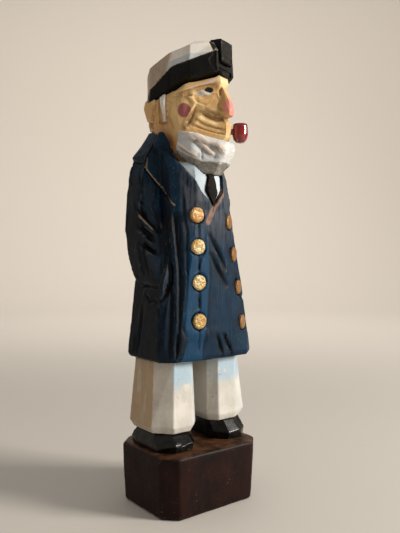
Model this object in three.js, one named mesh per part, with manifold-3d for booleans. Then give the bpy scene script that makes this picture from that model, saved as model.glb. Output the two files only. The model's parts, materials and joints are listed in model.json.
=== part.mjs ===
// Carved and painted wooden sea captain on a block base.
// Millimetres, +Z up, the base rests on Z = 0 and its middle is the origin. The figure faces -Y, so its right hand is on -X.
import * as THREE from "three";
import { mergeVertices } from "three/addons/utils/BufferGeometryUtils.js";
import { ConvexGeometry } from "three/addons/geometries/ConvexGeometry.js";
import Module from "manifold-3d";

const wasm = await Module();
wasm.setup();

// ---------------------------------------------------------------- driving dimensions
const TOTAL_HEIGHT = 201; // top of the cap above the table; every piece is carved in proportion to it
const DRAWN_HEIGHT = 201; // the height at which the sizes and sections below are given
const BASE_WIDTH = 52;
const BASE_DEPTH = 41;
const BASE_HEIGHT = 26;
const BASE_CORNER = 6; // leg of the chamfer on each upright corner of the base
const BASE_TAPER = 0.97; // the base is a little narrower at the table
const CUFF_HEIGHT = 33.5; // lower end of the trouser legs
const HEM_HEIGHT = 64; // lower edge of the coat
const HEM_WIDTH = 50.6;
const HEM_DEPTH = 34.2;
const SLEEVE_TURN_OUT = 0; // extra width of each sleeve at the elbow
const HEAD_TURN = 20; // degrees the head is turned toward the figure's left
const CAP_TILT = 20; // degrees the cap is tipped back
const CAP_SCALE = 1; // width of the cap against the size drawn here
const BUTTON_DIAMETER = 7.2;
const BUTTON_RISE = 0.9; // how far a button stands off the cloth
const BUTTON_SEAT = 0.7; // depth of the recess under it
const DOWEL_DIAMETER = 5;
const FINE_DOWEL_DIAMETER = 3.6;
const PIPE_BOWL_DIAMETER = 6.9;
const PIPE_BOWL_HEIGHT = 8.4;
const PIPE_STEM_DIAMETER = 2.6;
const PIPE_HOLE_DEPTH = 8;
const PARTING = 0.3; // clearance between neighbouring pieces
const COLLAR_THICKNESS = 1.5;
const COLLAR_STAND = 0.7; // how far the collar stands off the coat
const FRONT_RIDGE = 0.7; // height of the ridge down the front of the coat
const FRONT_RIDGE_X = 0.4;

// ---------------------------------------------------------------- solids
const PAINT = {
  maroon: 0x3a211b, black: 0x161514, white: 0xe6ddd3, navy: 0x22364f, blue: 0xbccdd6,
  skin: 0xd9ad6a, hair: 0xd9d6d0, red: 0x7a1219, gold: 0xcda45c, wood: 0xc79b62,
};

// A closed body through rings of the same number of points, each counter-clockwise seen from above, lowest first.
function loft(rings) {
  const count = rings[0].length;
  const positions = rings.flat(2);
  const index = [];
  for (let i = 0; i + 1 < rings.length; i++)
    for (let j = 0; j < count; j++) {
      const a = i * count + j;
      const b = i * count + ((j + 1) % count);
      index.push(a, b, b + count, a, b + count, a + count);
    }
  const top = (rings.length - 1) * count;
  for (let j = 1; j + 1 < count; j++) {
    index.push(0, j + 1, j);
    index.push(top, top + j, top + j + 1);
  }
  const geometry = new THREE.BufferGeometry();
  geometry.setAttribute("position", new THREE.Float32BufferAttribute(positions, 3));
  geometry.setIndex(index);
  return solid(geometry);
}

function solid(geometry) {
  const plain = geometry.clone();
  plain.deleteAttribute("normal");
  plain.deleteAttribute("uv");
  const merged = mergeVertices(plain, 1e-4);
  return new wasm.Manifold(
    new wasm.Mesh({
      numProp: 3,
      vertProperties: new Float32Array(merged.attributes.position.array),
      triVerts: new Uint32Array(merged.index.array),
    }),
  );
}

const hull = (points) => solid(new ConvexGeometry(points.map((p) => new THREE.Vector3(...p))));

const join = (list) => list.reduce((whole, next) => whole.add(next));

const carve = (body, list) => list.reduce((left, cutter) => left.subtract(cutter), body);

// Eight corners of a block section: outer limits, then the two legs of the chamfer at each corner.
function section(z, x0, x1, y0, y1, frontLeft, frontRight, backRight, backLeft) {
  const [a, b] = frontLeft;
  const [c, d] = frontRight ?? frontLeft;
  const [e, f] = backRight ?? frontLeft;
  const [g, h] = backLeft ?? backRight ?? frontLeft;
  return [
    [x0 + a, y0, z], [x1 - c, y0, z], [x1, y0 + d, z], [x1, y1 - f, z],
    [x1 - e, y1, z], [x0 + g, y1, z], [x0, y1 - h, z], [x0, y0 + b, z],
  ];
}

// The ring moved outward by `step` in its own plane (inward if negative).
function offset(ring, step) {
  const count = ring.length;
  return ring.map((point, i) => {
    const before = ring[(i + count - 1) % count];
    const after = ring[(i + 1) % count];
    const normal = (p, q) => {
      const length = Math.hypot(q[0] - p[0], q[1] - p[1]);
      return [(q[1] - p[1]) / length, (p[0] - q[0]) / length];
    };
    const [ax, ay] = normal(before, point);
    const [bx, by] = normal(point, after);
    const scale = step / (1 + ax * bx + ay * by);
    return [point[0] + (ax + bx) * scale, point[1] + (ay + by) * scale, point[2]];
  });
}

const grown = (rings, step) =>
  rings.map((ring, i) => {
    const rise = i === 0 ? -step : i === rings.length - 1 ? step : 0;
    return offset(ring, step).map(([x, y, z]) => [x, y, z + rise]);
  });

const mirrored = (ring) => ring.map(([x, y, z]) => [-x, y, z]).reverse();

function block(x0, x1, y0, y1, z0, z1) {
  const box = new THREE.BoxGeometry(x1 - x0, y1 - y0, z1 - z0);
  return solid(box.translate((x0 + x1) / 2, (y0 + y1) / 2, (z0 + z1) / 2));
}

// A flat outline of [x, z] corners pushed through from y0 to y1.
function plate(outline, y0, y1) {
  const shape = new THREE.Shape(outline.map(([x, z]) => new THREE.Vector2(x, z)));
  const geometry = new THREE.ExtrudeGeometry(shape, { depth: y1 - y0, bevelEnabled: false });
  return solid(geometry.rotateX(Math.PI / 2).translate(0, y1, 0));
}

// A round pin from one point to another.
function pin(from, to, diameter, sides = 20) {
  const start = new THREE.Vector3(...from);
  const axis = new THREE.Vector3(...to).sub(start);
  const geometry = new THREE.CylinderGeometry(diameter / 2, diameter / 2, axis.length(), sides);
  geometry.translate(0, axis.length() / 2, 0);
  geometry.applyQuaternion(
    new THREE.Quaternion().setFromUnitVectors(new THREE.Vector3(0, 1, 0), axis.normalize()),
  );
  return solid(geometry.translate(start.x, start.y, start.z));
}

// A dowel with its own hole, the hole wider by the parting and a little deeper at both ends.
function dowel(from, to, diameter) {
  const start = new THREE.Vector3(...from);
  const end = new THREE.Vector3(...to);
  const reach = end.clone().sub(start).normalize().multiplyScalar(0.5);
  return {
    body: pin(from, to, diameter),
    hole: pin(start.sub(reach).toArray(), end.add(reach).toArray(), diameter + 2 * PARTING),
  };
}

// A V cut of the knife through the listed points, `out` pointing away from the wood.
function gouge(path, out, width, depth) {
  const outward = new THREE.Vector3(...out).normalize();
  const points = path.map((p) => new THREE.Vector3(...p));
  const along = points[points.length - 1].clone().sub(points[0]).normalize();
  const side = along.clone().cross(outward).normalize();
  const cross = points.map((p, i) => {
    const end = i === 0 || i === points.length - 1;
    const half = (end ? 0.3 : 1) * (width / 2);
    const low = (end ? 0.15 : 1) * depth;
    return [
      p.clone().addScaledVector(side, half * 2).addScaledVector(outward, low),
      p.clone().addScaledVector(side, -half * 2).addScaledVector(outward, low),
      p.clone().addScaledVector(outward, -low),
    ].map((q) => q.toArray());
  });
  const bites = [];
  for (let i = 0; i + 1 < cross.length; i++) bites.push(hull([...cross[i], ...cross[i + 1]]));
  return join(bites);
}

const turnHead = (body) => body.rotate([0, 0, HEAD_TURN]);

const group = new THREE.Group();
function piece(name, body, colour) {
  const mesh = body.scale(TOTAL_HEIGHT / DRAWN_HEIGHT).getMesh();
  const geometry = new THREE.BufferGeometry();
  geometry.setAttribute("position", new THREE.BufferAttribute(new Float32Array(mesh.vertProperties), 3));
  geometry.setIndex(new THREE.BufferAttribute(new Uint32Array(mesh.triVerts), 1));
  const made = new THREE.Mesh(geometry, new THREE.MeshStandardMaterial({ color: colour }));
  made.name = name;
  group.add(made);
}

// ---------------------------------------------------------------- base block
const baseRing = (z, scale) => {
  const x = (BASE_WIDTH / 2) * scale;
  const y = (BASE_DEPTH / 2) * scale;
  const c = BASE_CORNER;
  return section(z, -x, x, -y, y, [c, c]);
};
const base = loft([
  baseRing(0, BASE_TAPER - 0.035),
  baseRing(1, BASE_TAPER),
  baseRing(BASE_HEIGHT - 0.9, 1),
  baseRing(BASE_HEIGHT, 0.965),
]);

// ---------------------------------------------------------------- coat: body and sleeves
const hemX = HEM_WIDTH / 2;
const hemY = HEM_DEPTH / 2;
// A coat section: the block section with a low ridge down the front, where one side laps over the other.
function coatSection(z, x0, x1, y0, y1, ...corners) {
  const ring = section(z, x0, x1, y0, y1, ...corners);
  ring.splice(1, 0, [FRONT_RIDGE_X, y0 - FRONT_RIDGE, z]);
  return ring;
}
const coatRings = [
  coatSection(HEM_HEIGHT, -hemX + 1.4, hemX - 0.4, -hemY + 0.9, hemY - 0.9, [5.6, 5], [5, 4.6]),
  coatSection(HEM_HEIGHT + 1.6, -hemX + 0.5, hemX + 0.5, -hemY, hemY, [6, 5], [5.4, 5]),
  coatSection(76, -24, 25.6, -16.9, 16.6, [7, 5.4], [13, 6.6], [5, 5]),
  coatSection(87, -22.8, 24.6, -16.4, 16, [7.6, 5.6], [14, 7.4], [5, 5]),
  coatSection(97, -21.5, 23.4, -16, 15.6, [9, 5.8], [13.4, 7.4], [5, 4.6]),
  coatSection(108, -18.6, 20.6, -15.8, 16, [9, 5.6], [11.5, 6.6], [4, 4]),
  coatSection(120, -16.8, 17.2, -15.7, 16.4, [9, 5.4], [9.4, 5.4], [3.4, 4]),
  coatSection(132, -15.9, 15.9, -15.3, 16.4, [8.8, 6.4], [8.8, 6.4], [3.4, 4]),
  coatSection(142, -15.6, 15.6, -14.2, 16.2, [9, 7.6], [9, 7.6], [3.4, 4]),
  coatSection(149, -15.4, 15.4, -12.2, 15.8, [9, 8.6], [9, 8.6], [3.8, 4]),
  coatSection(156, -14.6, 14.6, -8, 15.2, [7, 6.5], [7, 6.5], [4, 4.4]),
];
// front inner edge, front outer edge, outer back edge, back edge of the right sleeve at a height
const sleeveRing = (z, front, outer, back, heel) => (inner) => [
  [inner, front[1] + 0.4, z], [inner, heel[1], z], [heel[0], heel[1], z],
  [back[0], back[1], z], [outer[0], outer[1], z], [front[0], front[1], z],
];
const elbow = SLEEVE_TURN_OUT;
const sleeveSections = [
  sleeveRing(93.6, [-17.2, -11.2], [-20.6, -7.6], [-20.4, 6], [-18, 8.4]),
  sleeveRing(97, [-17.6, -11.3], [-22, -6.6], [-22, 8.6], [-19.4, 11]),
  sleeveRing(102, [-17.6, -10.8], [-23.2, -4.8], [-23.2, 11.4], [-20.4, 14.2]),
  sleeveRing(109, [-17.5, -8.6], [-24 - elbow, -2], [-24 - elbow, 13.4], [-21.2, 16.2]),
  sleeveRing(120, [-17.3, -4.4], [-24.2 - elbow, 1.2], [-24.4 - elbow, 14.4], [-21.6, 17.2]),
  sleeveRing(131, [-17, -1.8], [-23.8, 2.8], [-24, 14], [-21.2, 17]),
  sleeveRing(143, [-16.6, -0.8], [-23, 3.2], [-23.4, 13.6], [-20.6, 16.6]),
  sleeveRing(152, [-15.6, 0.4], [-20.2, 3.6], [-20.8, 13], [-18.4, 15.8]),
  sleeveRing(156, [-14.8, 2], [-16.8, 4], [-17.4, 12.4], [-16, 14.6]),
];
const SLEEVE_INNER = -14.2; // the flat inner side of the sleeve, set into the coat
const sleeveRings = sleeveSections.map((ring) => ring(SLEEVE_INNER));
const leftSleeveRings = sleeveRings.map(mirrored);
const shoulderRings = sleeveSections.map((ring) => ring(-7));

const coatForm = loft(coatRings);
const sleeveForm = loft(sleeveRings);
const leftSleeveForm = loft(leftSleeveRings);
const torso = (step) =>
  join([
    loft(grown(coatRings, step)), loft(grown(shoulderRings, step)), loft(grown(shoulderRings.map(mirrored), step)),
  ]);

// ---------------------------------------------------------------- collar and lapels
const CLOSURE_X = 1.5; // where the two fronts of the coat meet
const V_BOTTOM = 129.6;
const openingOutline = (grow) => [
  [CLOSURE_X, V_BOTTOM - 1.4 * grow],
  [CLOSURE_X + 5.4 + grow, 136.4 - grow * 0.4],
  [CLOSURE_X + 11.4 + grow, 153],
  [CLOSURE_X + 11.4 + grow, 170],
  [CLOSURE_X - 15.2 - grow, 170],
  [CLOSURE_X - 15.2 - grow, 153],
  [CLOSURE_X - 5.8 - grow, 135.6 - grow * 0.4],
];
// Everything above the collar's lower edge, which climbs outward over the shoulder and toward the back.
const edgeHeight = (x, y) => 121.8 - 1.0 * x + 0.62 * y;
const collarSide = (side, lower) =>
  hull(
    [[2, -24], [-32, -24], [2, 26], [-32, 26]].flatMap(([x, y]) => [
      [x * side, y, edgeHeight(x, y) - lower],
      [x * side, y, 220],
    ]),
  );
const LAPEL_FOOT = 129.2;
const COLLAR_FOOT = 149;
const collarCut = 3.2; // the collar behind this line, the lapels in front of it
const collarZone = (lower) =>
  join([collarSide(1, lower), collarSide(-1, lower)]).intersect(
    join([
      block(-40, 40, -40, collarCut + lower, LAPEL_FOOT - lower, 220),
      block(-40, 40, collarCut - lower, 40, COLLAR_FOOT - lower, 220),
    ]),
  );
const neckHole = (step) =>
  loft(grown([
    section(140, -11, 11, -9, 11, [4, 4]),
    section(156, -12.6, 12.6, -10, 12, [4.4, 4.4]),
    section(172, -13.6, 13.6, -12, 14.6, [5, 5]),
  ], step));
const openingSolid = (grow) => plate(openingOutline(grow), -30, -4.5 + grow);
const collarStandRings = [
  section(148, -16, 16, -8.6, 15.8, [7, 7], [7, 7], [4.4, 4.4]),
  section(156.4, -18, 18, -8.4, 16.6, [8, 8], [8, 8], [4.4, 4.4]),
  section(163.2, -14.2, 14.2, -3.6, 15.8, [5, 5], [5, 5], [4.4, 4.4]),
];
const collarOuter = join([torso(COLLAR_STAND), loft(collarStandRings)]);
const collarInner = torso(COLLAR_STAND - COLLAR_THICKNESS);
const collarShell = carve(collarOuter.intersect(collarZone(0)), [
  collarInner, neckHole(PARTING), openingSolid(PARTING), block(-40, 40, -40, 40, 0, 120),
]);
const split = PARTING / 2;
const rightLapel = carve(collarShell, [
  block(-40, 40, collarCut - split, 40, 100, 200), block(CLOSURE_X - split, 40, -40, 40, 100, 200),
]);
const leftLapel = carve(collarShell, [
  block(-40, 40, collarCut - split, 40, 100, 200), block(-40, CLOSURE_X + split, -40, 40, 100, 200),
]);
const coatCollar = carve(collarShell, [block(-40, 40, -40, collarCut + split, 100, 200)]);
const collarRoom = collarZone(PARTING).subtract(torso(COLLAR_STAND - COLLAR_THICKNESS - PARTING));

// ---------------------------------------------------------------- shirt and necktie
const shirtRoom = openingSolid(0);
const shirtForm = loft(grown(coatRings, -0.9));
const tieOutline = (grow) => [
  [CLOSURE_X, V_BOTTOM + 0.6 - 1.4 * grow],
  [CLOSURE_X + 2.8 + grow, 135.4],
  [CLOSURE_X + 1.6 + grow, 142],
  [CLOSURE_X + 2 + grow, 148 + grow],
  [CLOSURE_X - 2.4 - grow, 148 + grow],
  [CLOSURE_X - 1.9 - grow, 142],
  [CLOSURE_X - 3.2 - grow, 136],
];
const tie = carve(loft(grown(coatRings, 0.1)).intersect(plate(tieOutline(0), -30, -5)), [
  loft(grown(coatRings, -2.4)),
]);
const tieRoom = plate(tieOutline(PARTING), -30, -5).subtract(loft(grown(coatRings, -2.7)));
const shirt = carve(shirtForm.intersect(plate(openingOutline(-PARTING), -30, -5)), [
  tieRoom, neckHole(PARTING), block(-40, 40, -40, 40, 157, 200),
]);

// ---------------------------------------------------------------- head, face, hair
const faceRings = [
  section(143, -8.6, 8.6, -5.4, 8.6, [3, 3]),
  section(150, -9.6, 9.6, -7.4, 10, [3.4, 3.4]),
  section(154, -11.2, 11.2, -15.2, 12, [8.2, 11]),
  section(159, -12, 12, -20.2, 13.8, [10, 14], [10, 14], [5, 5]),
  section(165, -12.6, 12.6, -20.8, 15, [10.6, 15], [10.6, 15], [5, 5]),
  section(169, -13, 13, -18.6, 15.6, [11, 13.6], [11, 13.6], [5.4, 5.4]),
  section(174, -13.6, 13.6, -18, 15.8, [11.6, 12.6], [11.6, 12.6], [5.4, 5.4]),
  section(179, -12.6, 12.6, -16.4, 16, [10, 11.6], [10, 11.6], [5.6, 5.6]),
  section(183, -13, 13, -18.6, 15.8, [9.4, 12], [9.4, 12], [5.6, 5.6]),
  section(192, -12.6, 12.6, -16.6, 15.2, [8.4, 11], [8.4, 11], [5.6, 5.6]),
];
const nose = hull([
  [-1.1, -18, 181.4], [1.1, -18, 181.4], [-3, -16, 168.6], [3, -16, 168.6], [-2.8, -21.2, 170.4],
  [2.8, -21.2, 170.4], [-1.6, -22.6, 172], [1.6, -22.6, 172], [-1.9, -22, 167.8], [1.9, -22, 167.8],
  [-1, -21.2, 175], [1, -21.2, 175],
]);
const earForm = (side) =>
  hull([
    [12.4, 8.6, 177], [14.6, 8.4, 176.4], [14.8, 12.4, 176.6], [12, 15.6, 176.6], [14.4, 14.6, 173],
    [14.6, 8.6, 171.6], [12.2, 8, 171], [13.8, 13.2, 168], [13.6, 10.2, 167], [11.6, 14.6, 167.8],
    [11.6, 9.6, 166.8],
  ].map(([x, y, z]) => [x * side, y, z]));
const eyeSocket = (side) =>
  gouge([[side * 10.4, -6.6, 176.8], [side * 7, -11, 178], [side * 3.4, -15.6, 179.4]], [side * 0.76, -0.64, -0.05], 3.8, 0.8);
const smileCrease = (side) =>
  gouge([[side * 3.6, -17.6, 170.6], [side * 6.4, -13.8, 167.4], [side * 8.8, -9.6, 163]], [side * 0.78, -0.62, 0], 1.8, 0.8);
const headForm = loft(faceRings);

const beardRings = [
  section(143.6, -6, 6, -15, -9, [3, 3.6], [3, 3.6], [1, 1]),
  section(148.6, -10.6, 10.6, -19, -3.4, [6.4, 9], [6.4, 9], [1.6, 1.6]),
  section(151.4, -12, 12, -20.6, 0.2, [8, 11], [8, 11], [2, 2]),
  section(155.4, -12.6, 12.6, -21.6, 0.8, [9, 12], [9, 12], [2, 2]),
  section(158.4, -12.8, 12.8, -21.8, 0.6, [9.4, 12], [9.4, 12], [2.6, 2.6]),
  section(164, -13.2, 13.2, -20.2, -1.6, [10, 13], [10, 13], [2.6, 2.6]),
];
const beardTop = hull([
  [-20, -30, 155.4], [20, -30, 155.4], [-20, -20, 157.4], [20, -20, 157.4], [-20, 10, 165.8], [20, 10, 165.8],
  [-20, -30, 180], [20, -30, 180], [-20, 10, 180], [20, 10, 180],
]);
const beardCuts = [
  { path: [[12.4, -8, 160], [9.8, -13, 155], [6.6, -15.6, 148]], out: [0.75, -0.62, -0.15] },
  { path: [[9, -13.4, 158.4], [6.4, -17, 153], [4, -16.8, 147]], out: [0.7, -0.68, -0.2] },
  { path: [[5, -18.4, 157.6], [3.6, -19.6, 152.4], [2.2, -17.6, 147]], out: [0.55, -0.8, -0.2] },
];
const beardGouges = [1, -1].flatMap((side) =>
  beardCuts.map(({ path, out }) =>
    gouge(path.map(([x, y, z]) => [x * side, y, z]), [out[0] * side, out[1], out[2]], 1.8, 0.9)));
const beardForm = carve(loft(beardRings), [beardTop]);
const headGrown = loft(grown(faceRings, PARTING));
const beard = carve(beardForm, [headGrown, ...beardGouges]);
const headBlock = carve(join([headForm, nose, earForm(1), earForm(-1)]), [
  eyeSocket(1), eyeSocket(-1), smileCrease(1), smileCrease(-1),
]);

// the plane of the tipped cap, on which the head ends
// Ring of the cap: half width, front and back limits, and the height at five stations from the front to the back.
const CAP_STATIONS = [-19, -9.6, 1, 11.4, 17.4];
function capRing(half, front, back, heights) {
  const lean = Math.tan(((CAP_TILT - 20) * Math.PI) / 180);
  const [atFront, atTemple, atSide, atEar, atBack] = heights.map((z, i) => z - CAP_STATIONS[i] * lean);
  const x = half * CAP_SCALE;
  return [
    [-6.8, front, atFront], [6.8, front, atFront], [x, -9.6, atTemple], [x, 1, atSide], [x, back - 6, atEar],
    [x - 6, back, atBack], [6 - x, back, atBack], [-x, back - 6, atEar], [-x, 1, atSide], [-x, -9.6, atTemple],
  ];
}
const lift = (ring, rise) => ring.map(([x, y, z]) => [x, y, z + rise]);
const bandRings = [
  capRing(14.4, -19, 17.4, [186.5, 184, 180.4, 175.6, 174]),
  capRing(14.2, -18.4, 17.2, [195, 190.3, 188.7, 181, 179.4]),
];
const crownRings = [
  lift(bandRings[1], PARTING),
  capRing(13.8, -16.6, 17.6, [198.6, 197.2, 195.4, 190.6, 188.6]),
  capRing(9.8, -14.6, 9.4, [199.6, 199.4, 197.4, 195.4, 194.6]),
];
const capClear = loft([lift(offset(bandRings[0], 0.8), -PARTING), lift(offset(bandRings[0], 0.8), 40)]);

// hair: a pad round the back of the head, and a strip in front of each ear
const hairOuter = loft(grown(faceRings, 1.1));
const hairBackZone = (grow) => block(-20, 20, 10.6 - grow, 25, 164 - grow, 190);
const sideburnZone = (side, grow) =>
  block(side > 0 ? 9 : -20, side > 0 ? 20 : -9, 3.4 - grow, 7 + grow, 166.4 - grow, 190);
const hairCuts = [-8, -4, 0, 4, 8].map((x) =>
  gouge([[x, 17.2, 178], [x * 1.02, 17.2, 171], [x * 1.05, 16.6, 163]], [0, 1, 0], 1.5, 0.55),
);
const earRoom = (side) => block(side > 0 ? 11 : -20, side > 0 ? 20 : -11, 7.2, 15.8, 160, 178.6);
const hairInner = loft(grown(faceRings, -0.8));
const hairBack = carve(hairOuter.intersect(hairBackZone(0)), [hairInner, earRoom(1), earRoom(-1), capClear, ...hairCuts]);
const sideburn = (side) => carve(hairOuter.intersect(sideburnZone(side, 0)), [hairInner, capClear]);
const hairRoom = carve(
  join([carve(hairBackZone(PARTING), [earRoom(1), earRoom(-1)]), sideburnZone(1, PARTING), sideburnZone(-1, PARTING)]),
  [loft(grown(faceRings, -0.8 - PARTING))],
);

// ---------------------------------------------------------------- cap
const bandForm = loft(bandRings);
const crownForm = loft(crownRings);
const panelForm = hull([
  [-4.6, -19.8, 190.8], [4.6, -19.8, 190.8], [-4.8, -19.4, DRAWN_HEIGHT - 0.6], [4.8, -19.4, DRAWN_HEIGHT - 0.6],
  [-4.6, -14, 190.8], [4.6, -14, 190.8], [-4.4, -13.8, DRAWN_HEIGHT], [4.4, -13.8, DRAWN_HEIGHT],
]);
const panelRoom = hull([
  [-5.2, -30, 190.3], [5.2, -30, 190.3], [-5.2, -30, 215], [5.2, -30, 215],
  [-5.2, -13.5, 190.3], [5.2, -13.5, 190.3], [-5.2, -13.2, 215], [5.2, -13.2, 215],
]);
const visorPoints = [
  [-5.4, -16.8, 188.2], [5.4, -16.8, 188.2], [-5.4, -16.8, 187], [5.4, -16.8, 187],
  [-5.2, -19.4, 188], [5.2, -19.4, 188], [-5, -19.6, 186.6], [5, -19.6, 186.6],
  [-3.2, -22.4, 184.2], [3.2, -22.4, 184.2], [-3, -22, 182.8], [3, -22, 182.8],
];
const swollen = (points, step) =>
  hull(points.flatMap(([x, y, z]) =>
    [-step, step].flatMap((a) => [-step, step].flatMap((b) => [-step, step].map((c) => [x + a, y + b, z + c])))));
const visorForm = hull(visorPoints);
const visorRoom = swollen(visorPoints, PARTING);

// ---------------------------------------------------------------- pipe
const PIPE_MOUTH = [3, -18.8, 162.4]; // where the stem enters, in the head's own frame
const PIPE_STEM_SHOWING = 1.5;
const pipeAxis = new THREE.Vector3(0.61, -0.79, -0.04).normalize(); // out of the left corner of the mouth
const along = (distance) => new THREE.Vector3(...PIPE_MOUTH).addScaledVector(pipeAxis, distance).toArray();
const bowlR = PIPE_BOWL_DIAMETER / 2;
const bowlReach = bowlR + PIPE_STEM_SHOWING;
const bowlProfile = [
  [0, -PIPE_BOWL_HEIGHT * 0.58], [bowlR * 0.5, -PIPE_BOWL_HEIGHT * 0.54], [bowlR * 0.84, -PIPE_BOWL_HEIGHT * 0.4],
  [bowlR, -PIPE_BOWL_HEIGHT * 0.16], [bowlR * 0.98, PIPE_BOWL_HEIGHT * 0.3], [bowlR * 0.9, PIPE_BOWL_HEIGHT * 0.42],
  [bowlR * 0.66, PIPE_BOWL_HEIGHT * 0.42], [bowlR * 0.58, PIPE_BOWL_HEIGHT * 0.2], [0, PIPE_BOWL_HEIGHT * 0.16],
].map(([r, z]) => new THREE.Vector2(r, z));
const bowl = solid(new THREE.LatheGeometry(bowlProfile, 28).rotateX(Math.PI / 2)).translate(along(bowlReach));
const stem = dowel(along(-PIPE_HOLE_DEPTH + 0.5), along(bowlReach - bowlR * 0.5), PIPE_STEM_DIAMETER);

// ---------------------------------------------------------------- legs and shoes
const rightLegRings = [
  section(CUFF_HEIGHT, -23, -5.4, -12.4, 12.6, [6.2, 6.6], [3.4, 3.6], [3, 3]),
  section(CUFF_HEIGHT + 3, -24.6, -3.8, -13.6, 13.8, [6.6, 7.4], [3.8, 4], [3, 3]),
  section(HEM_HEIGHT - PARTING, -22, -4.2, -12, 13, [5.4, 8], [3.8, 4], [3, 3]),
];
const leftLegRings = [
  section(CUFF_HEIGHT + 1.4, 5.2, 24, -10.8, 13, [3.4, 4], [6.6, 3.6], [3, 3]),
  section(CUFF_HEIGHT + 4.4, 3.8, 25.4, -12, 14, [4, 4.6], [8.4, 4], [3, 3]),
  section(HEM_HEIGHT - PARTING, 3.6, 22.4, -11.6, 13, [3.8, 4], [6, 5], [3, 3]),
];
const shoeTop = CUFF_HEIGHT - PARTING;
const shoeFloor = BASE_HEIGHT + PARTING;
const rightShoe = loft([
  section(shoeFloor, -23.4, -6.6, -15, 13.4, [5.4, 6.6], [3, 3.4], [3, 3]),
  section(BASE_HEIGHT + 3.4, -23.8, -6.2, -15.6, 13.8, [5.6, 7], [3.2, 3.6], [3, 3]),
  section(shoeTop, -22, -7, -11.4, 12, [5, 5.6], [3, 3], [3, 3]),
]);
const leftShoe = loft([
  section(shoeFloor, 8, 23.6, -12.8, 12.6, [4.4, 6], [4, 3], [3, 3]),
  section(BASE_HEIGHT + 3.4, 7.6, 24, -13.4, 13, [4.6, 6.2], [4.4, 3.2], [3, 3]),
  section(shoeTop + 1.4, 7.6, 22.6, -10, 12, [4, 5], [4, 3], [3, 3]),
]);

// ---------------------------------------------------------------- dowels
const legDowels = [[-14.4, 1], [14.6, 1]].map(([x, y]) =>
  dowel([x, y, BASE_HEIGHT - 10], [x, y, CUFF_HEIGHT + 11], DOWEL_DIAMETER));
const hipDowels = [[-13, 1], [13, 1]].map(([x, y]) =>
  dowel([x, y, HEM_HEIGHT - 10], [x, y, HEM_HEIGHT + 10], DOWEL_DIAMETER));
const neckDowel = dowel([0, 0, 131], [0, 0, 160], DOWEL_DIAMETER);
const capDowel = dowel([0, 0, 174], [0, 0, 196], FINE_DOWEL_DIAMETER);
const sleeveDowels = [-1, 1].map((side) =>
  dowel([side * 9, 7, 136], [side * 19, 7, 136], FINE_DOWEL_DIAMETER));

// ---------------------------------------------------------------- knife cuts in the cloth
const elbowCuts = [
  [[-24.6, 5, 133.4], [-21.4, -0.4, 128], [-18, -5.4, 118.6]],
  [[-24.8, 4.4, 121.4], [-22.2, -1.2, 118], [-20, -5, 114]],
  [[-24.8, 1.6, 114], [-22.4, -3.4, 111], [-19.6, -7.6, 108.6]],
];
const elbowGouges = (side) =>
  elbowCuts.map((path) => gouge(path.map(([x, y, z]) => [x * side, y, z]), [-0.72 * side, -0.68, 0.15], 2.4, 1.3));
const frontGouges = [
  gouge([[0.4, -16.4, 122.6], [3.4, -16.7, 114], [6.6, -16.6, 104]], [0, -1, 0], 2.2, 1),
  gouge([[1.6, -16.4, 113], [4.6, -16.6, 105], [8, -16.4, 97.4]], [0, -1, 0], 1.8, 0.8),
  gouge([[3.4, -17, 75.6], [3.6, -17.6, 70], [4.4, -18, 64]], [0, -1, 0], 2.2, 1.1),
  gouge([[8.6, -17, 75.6], [8.4, -17.6, 70], [8.8, -18, 64]], [0, -1, 0], 2.2, 1.1),
  gouge([[CLOSURE_X, -16.2, 129], [0.6, -16.8, 108], [0.2, -17.4, 66]], [0, -1, 0], 1, 0.7),
];
const sideGroove = (side) =>
  gouge(
    [[side * 16.6, -9.6, 133], [side * 17.6, -11.2, 116], [side * 20, -11.4, 96], [side * 23, -11.6, 80], [side * 24.4, -11.8, 68]],
    [side * 0.75, -0.66, 0], 2, 1.2,
  );
const backSeam = gouge([[0, 16.6, 118], [0, 16.2, 95], [0, 17.3, 62]], [0, 1, 0], 2.2, 1.3);

// ---------------------------------------------------------------- buttons
const rightColumn = [[-7.3, 125.6], [-7, 112.2], [-6.8, 97.1], [-7.2, 80.8]];
const leftColumn = [[12.6, 123.4], [16, 109], [19.2, 94.2], [20.6, 78.4]];
// The front of the coat at a height: y and outward direction of the facet under a button.
function clothAt(x, z) {
  const upper = coatRings.findIndex((ring) => ring[0][2] > z);
  const [a, b] = [coatRings[upper - 1], coatRings[upper]];
  const t = (z - a[0][2]) / (b[0][2] - a[0][2]);
  const mix = (i, k) => a[i][k] * (1 - t) + b[i][k] * t;
  const [near, far] = x < mix(0, 0) ? [0, 8] : x < FRONT_RIDGE_X ? [1, 0] : x < mix(2, 0) ? [1, 2] : [2, 3];
  const slope = (mix(far, 1) - mix(near, 1)) / (mix(far, 0) - mix(near, 0));
  return {
    y: mix(near, 1) + slope * (x - mix(near, 0)),
    out: new THREE.Vector3(slope, -1, 0).normalize(),
  };
}
const buttonAt = ([x, z]) => {
  const { y, out } = clothAt(x, z);
  const at = (distance) => new THREE.Vector3(x, y, z).addScaledVector(out, distance).toArray();
  const rim = pin(at(-BUTTON_SEAT), at(BUTTON_RISE * 0.6), BUTTON_DIAMETER, 24);
  const face = pin(at(0), at(BUTTON_RISE), BUTTON_DIAMETER * 0.86, 24);
  return { body: rim.add(face), room: pin(at(-BUTTON_SEAT - PARTING), at(5), BUTTON_DIAMETER + 2 * PARTING, 24) };
};
const rightButtons = rightColumn.map(buttonAt);
const leftButtons = leftColumn.map(buttonAt);

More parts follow.
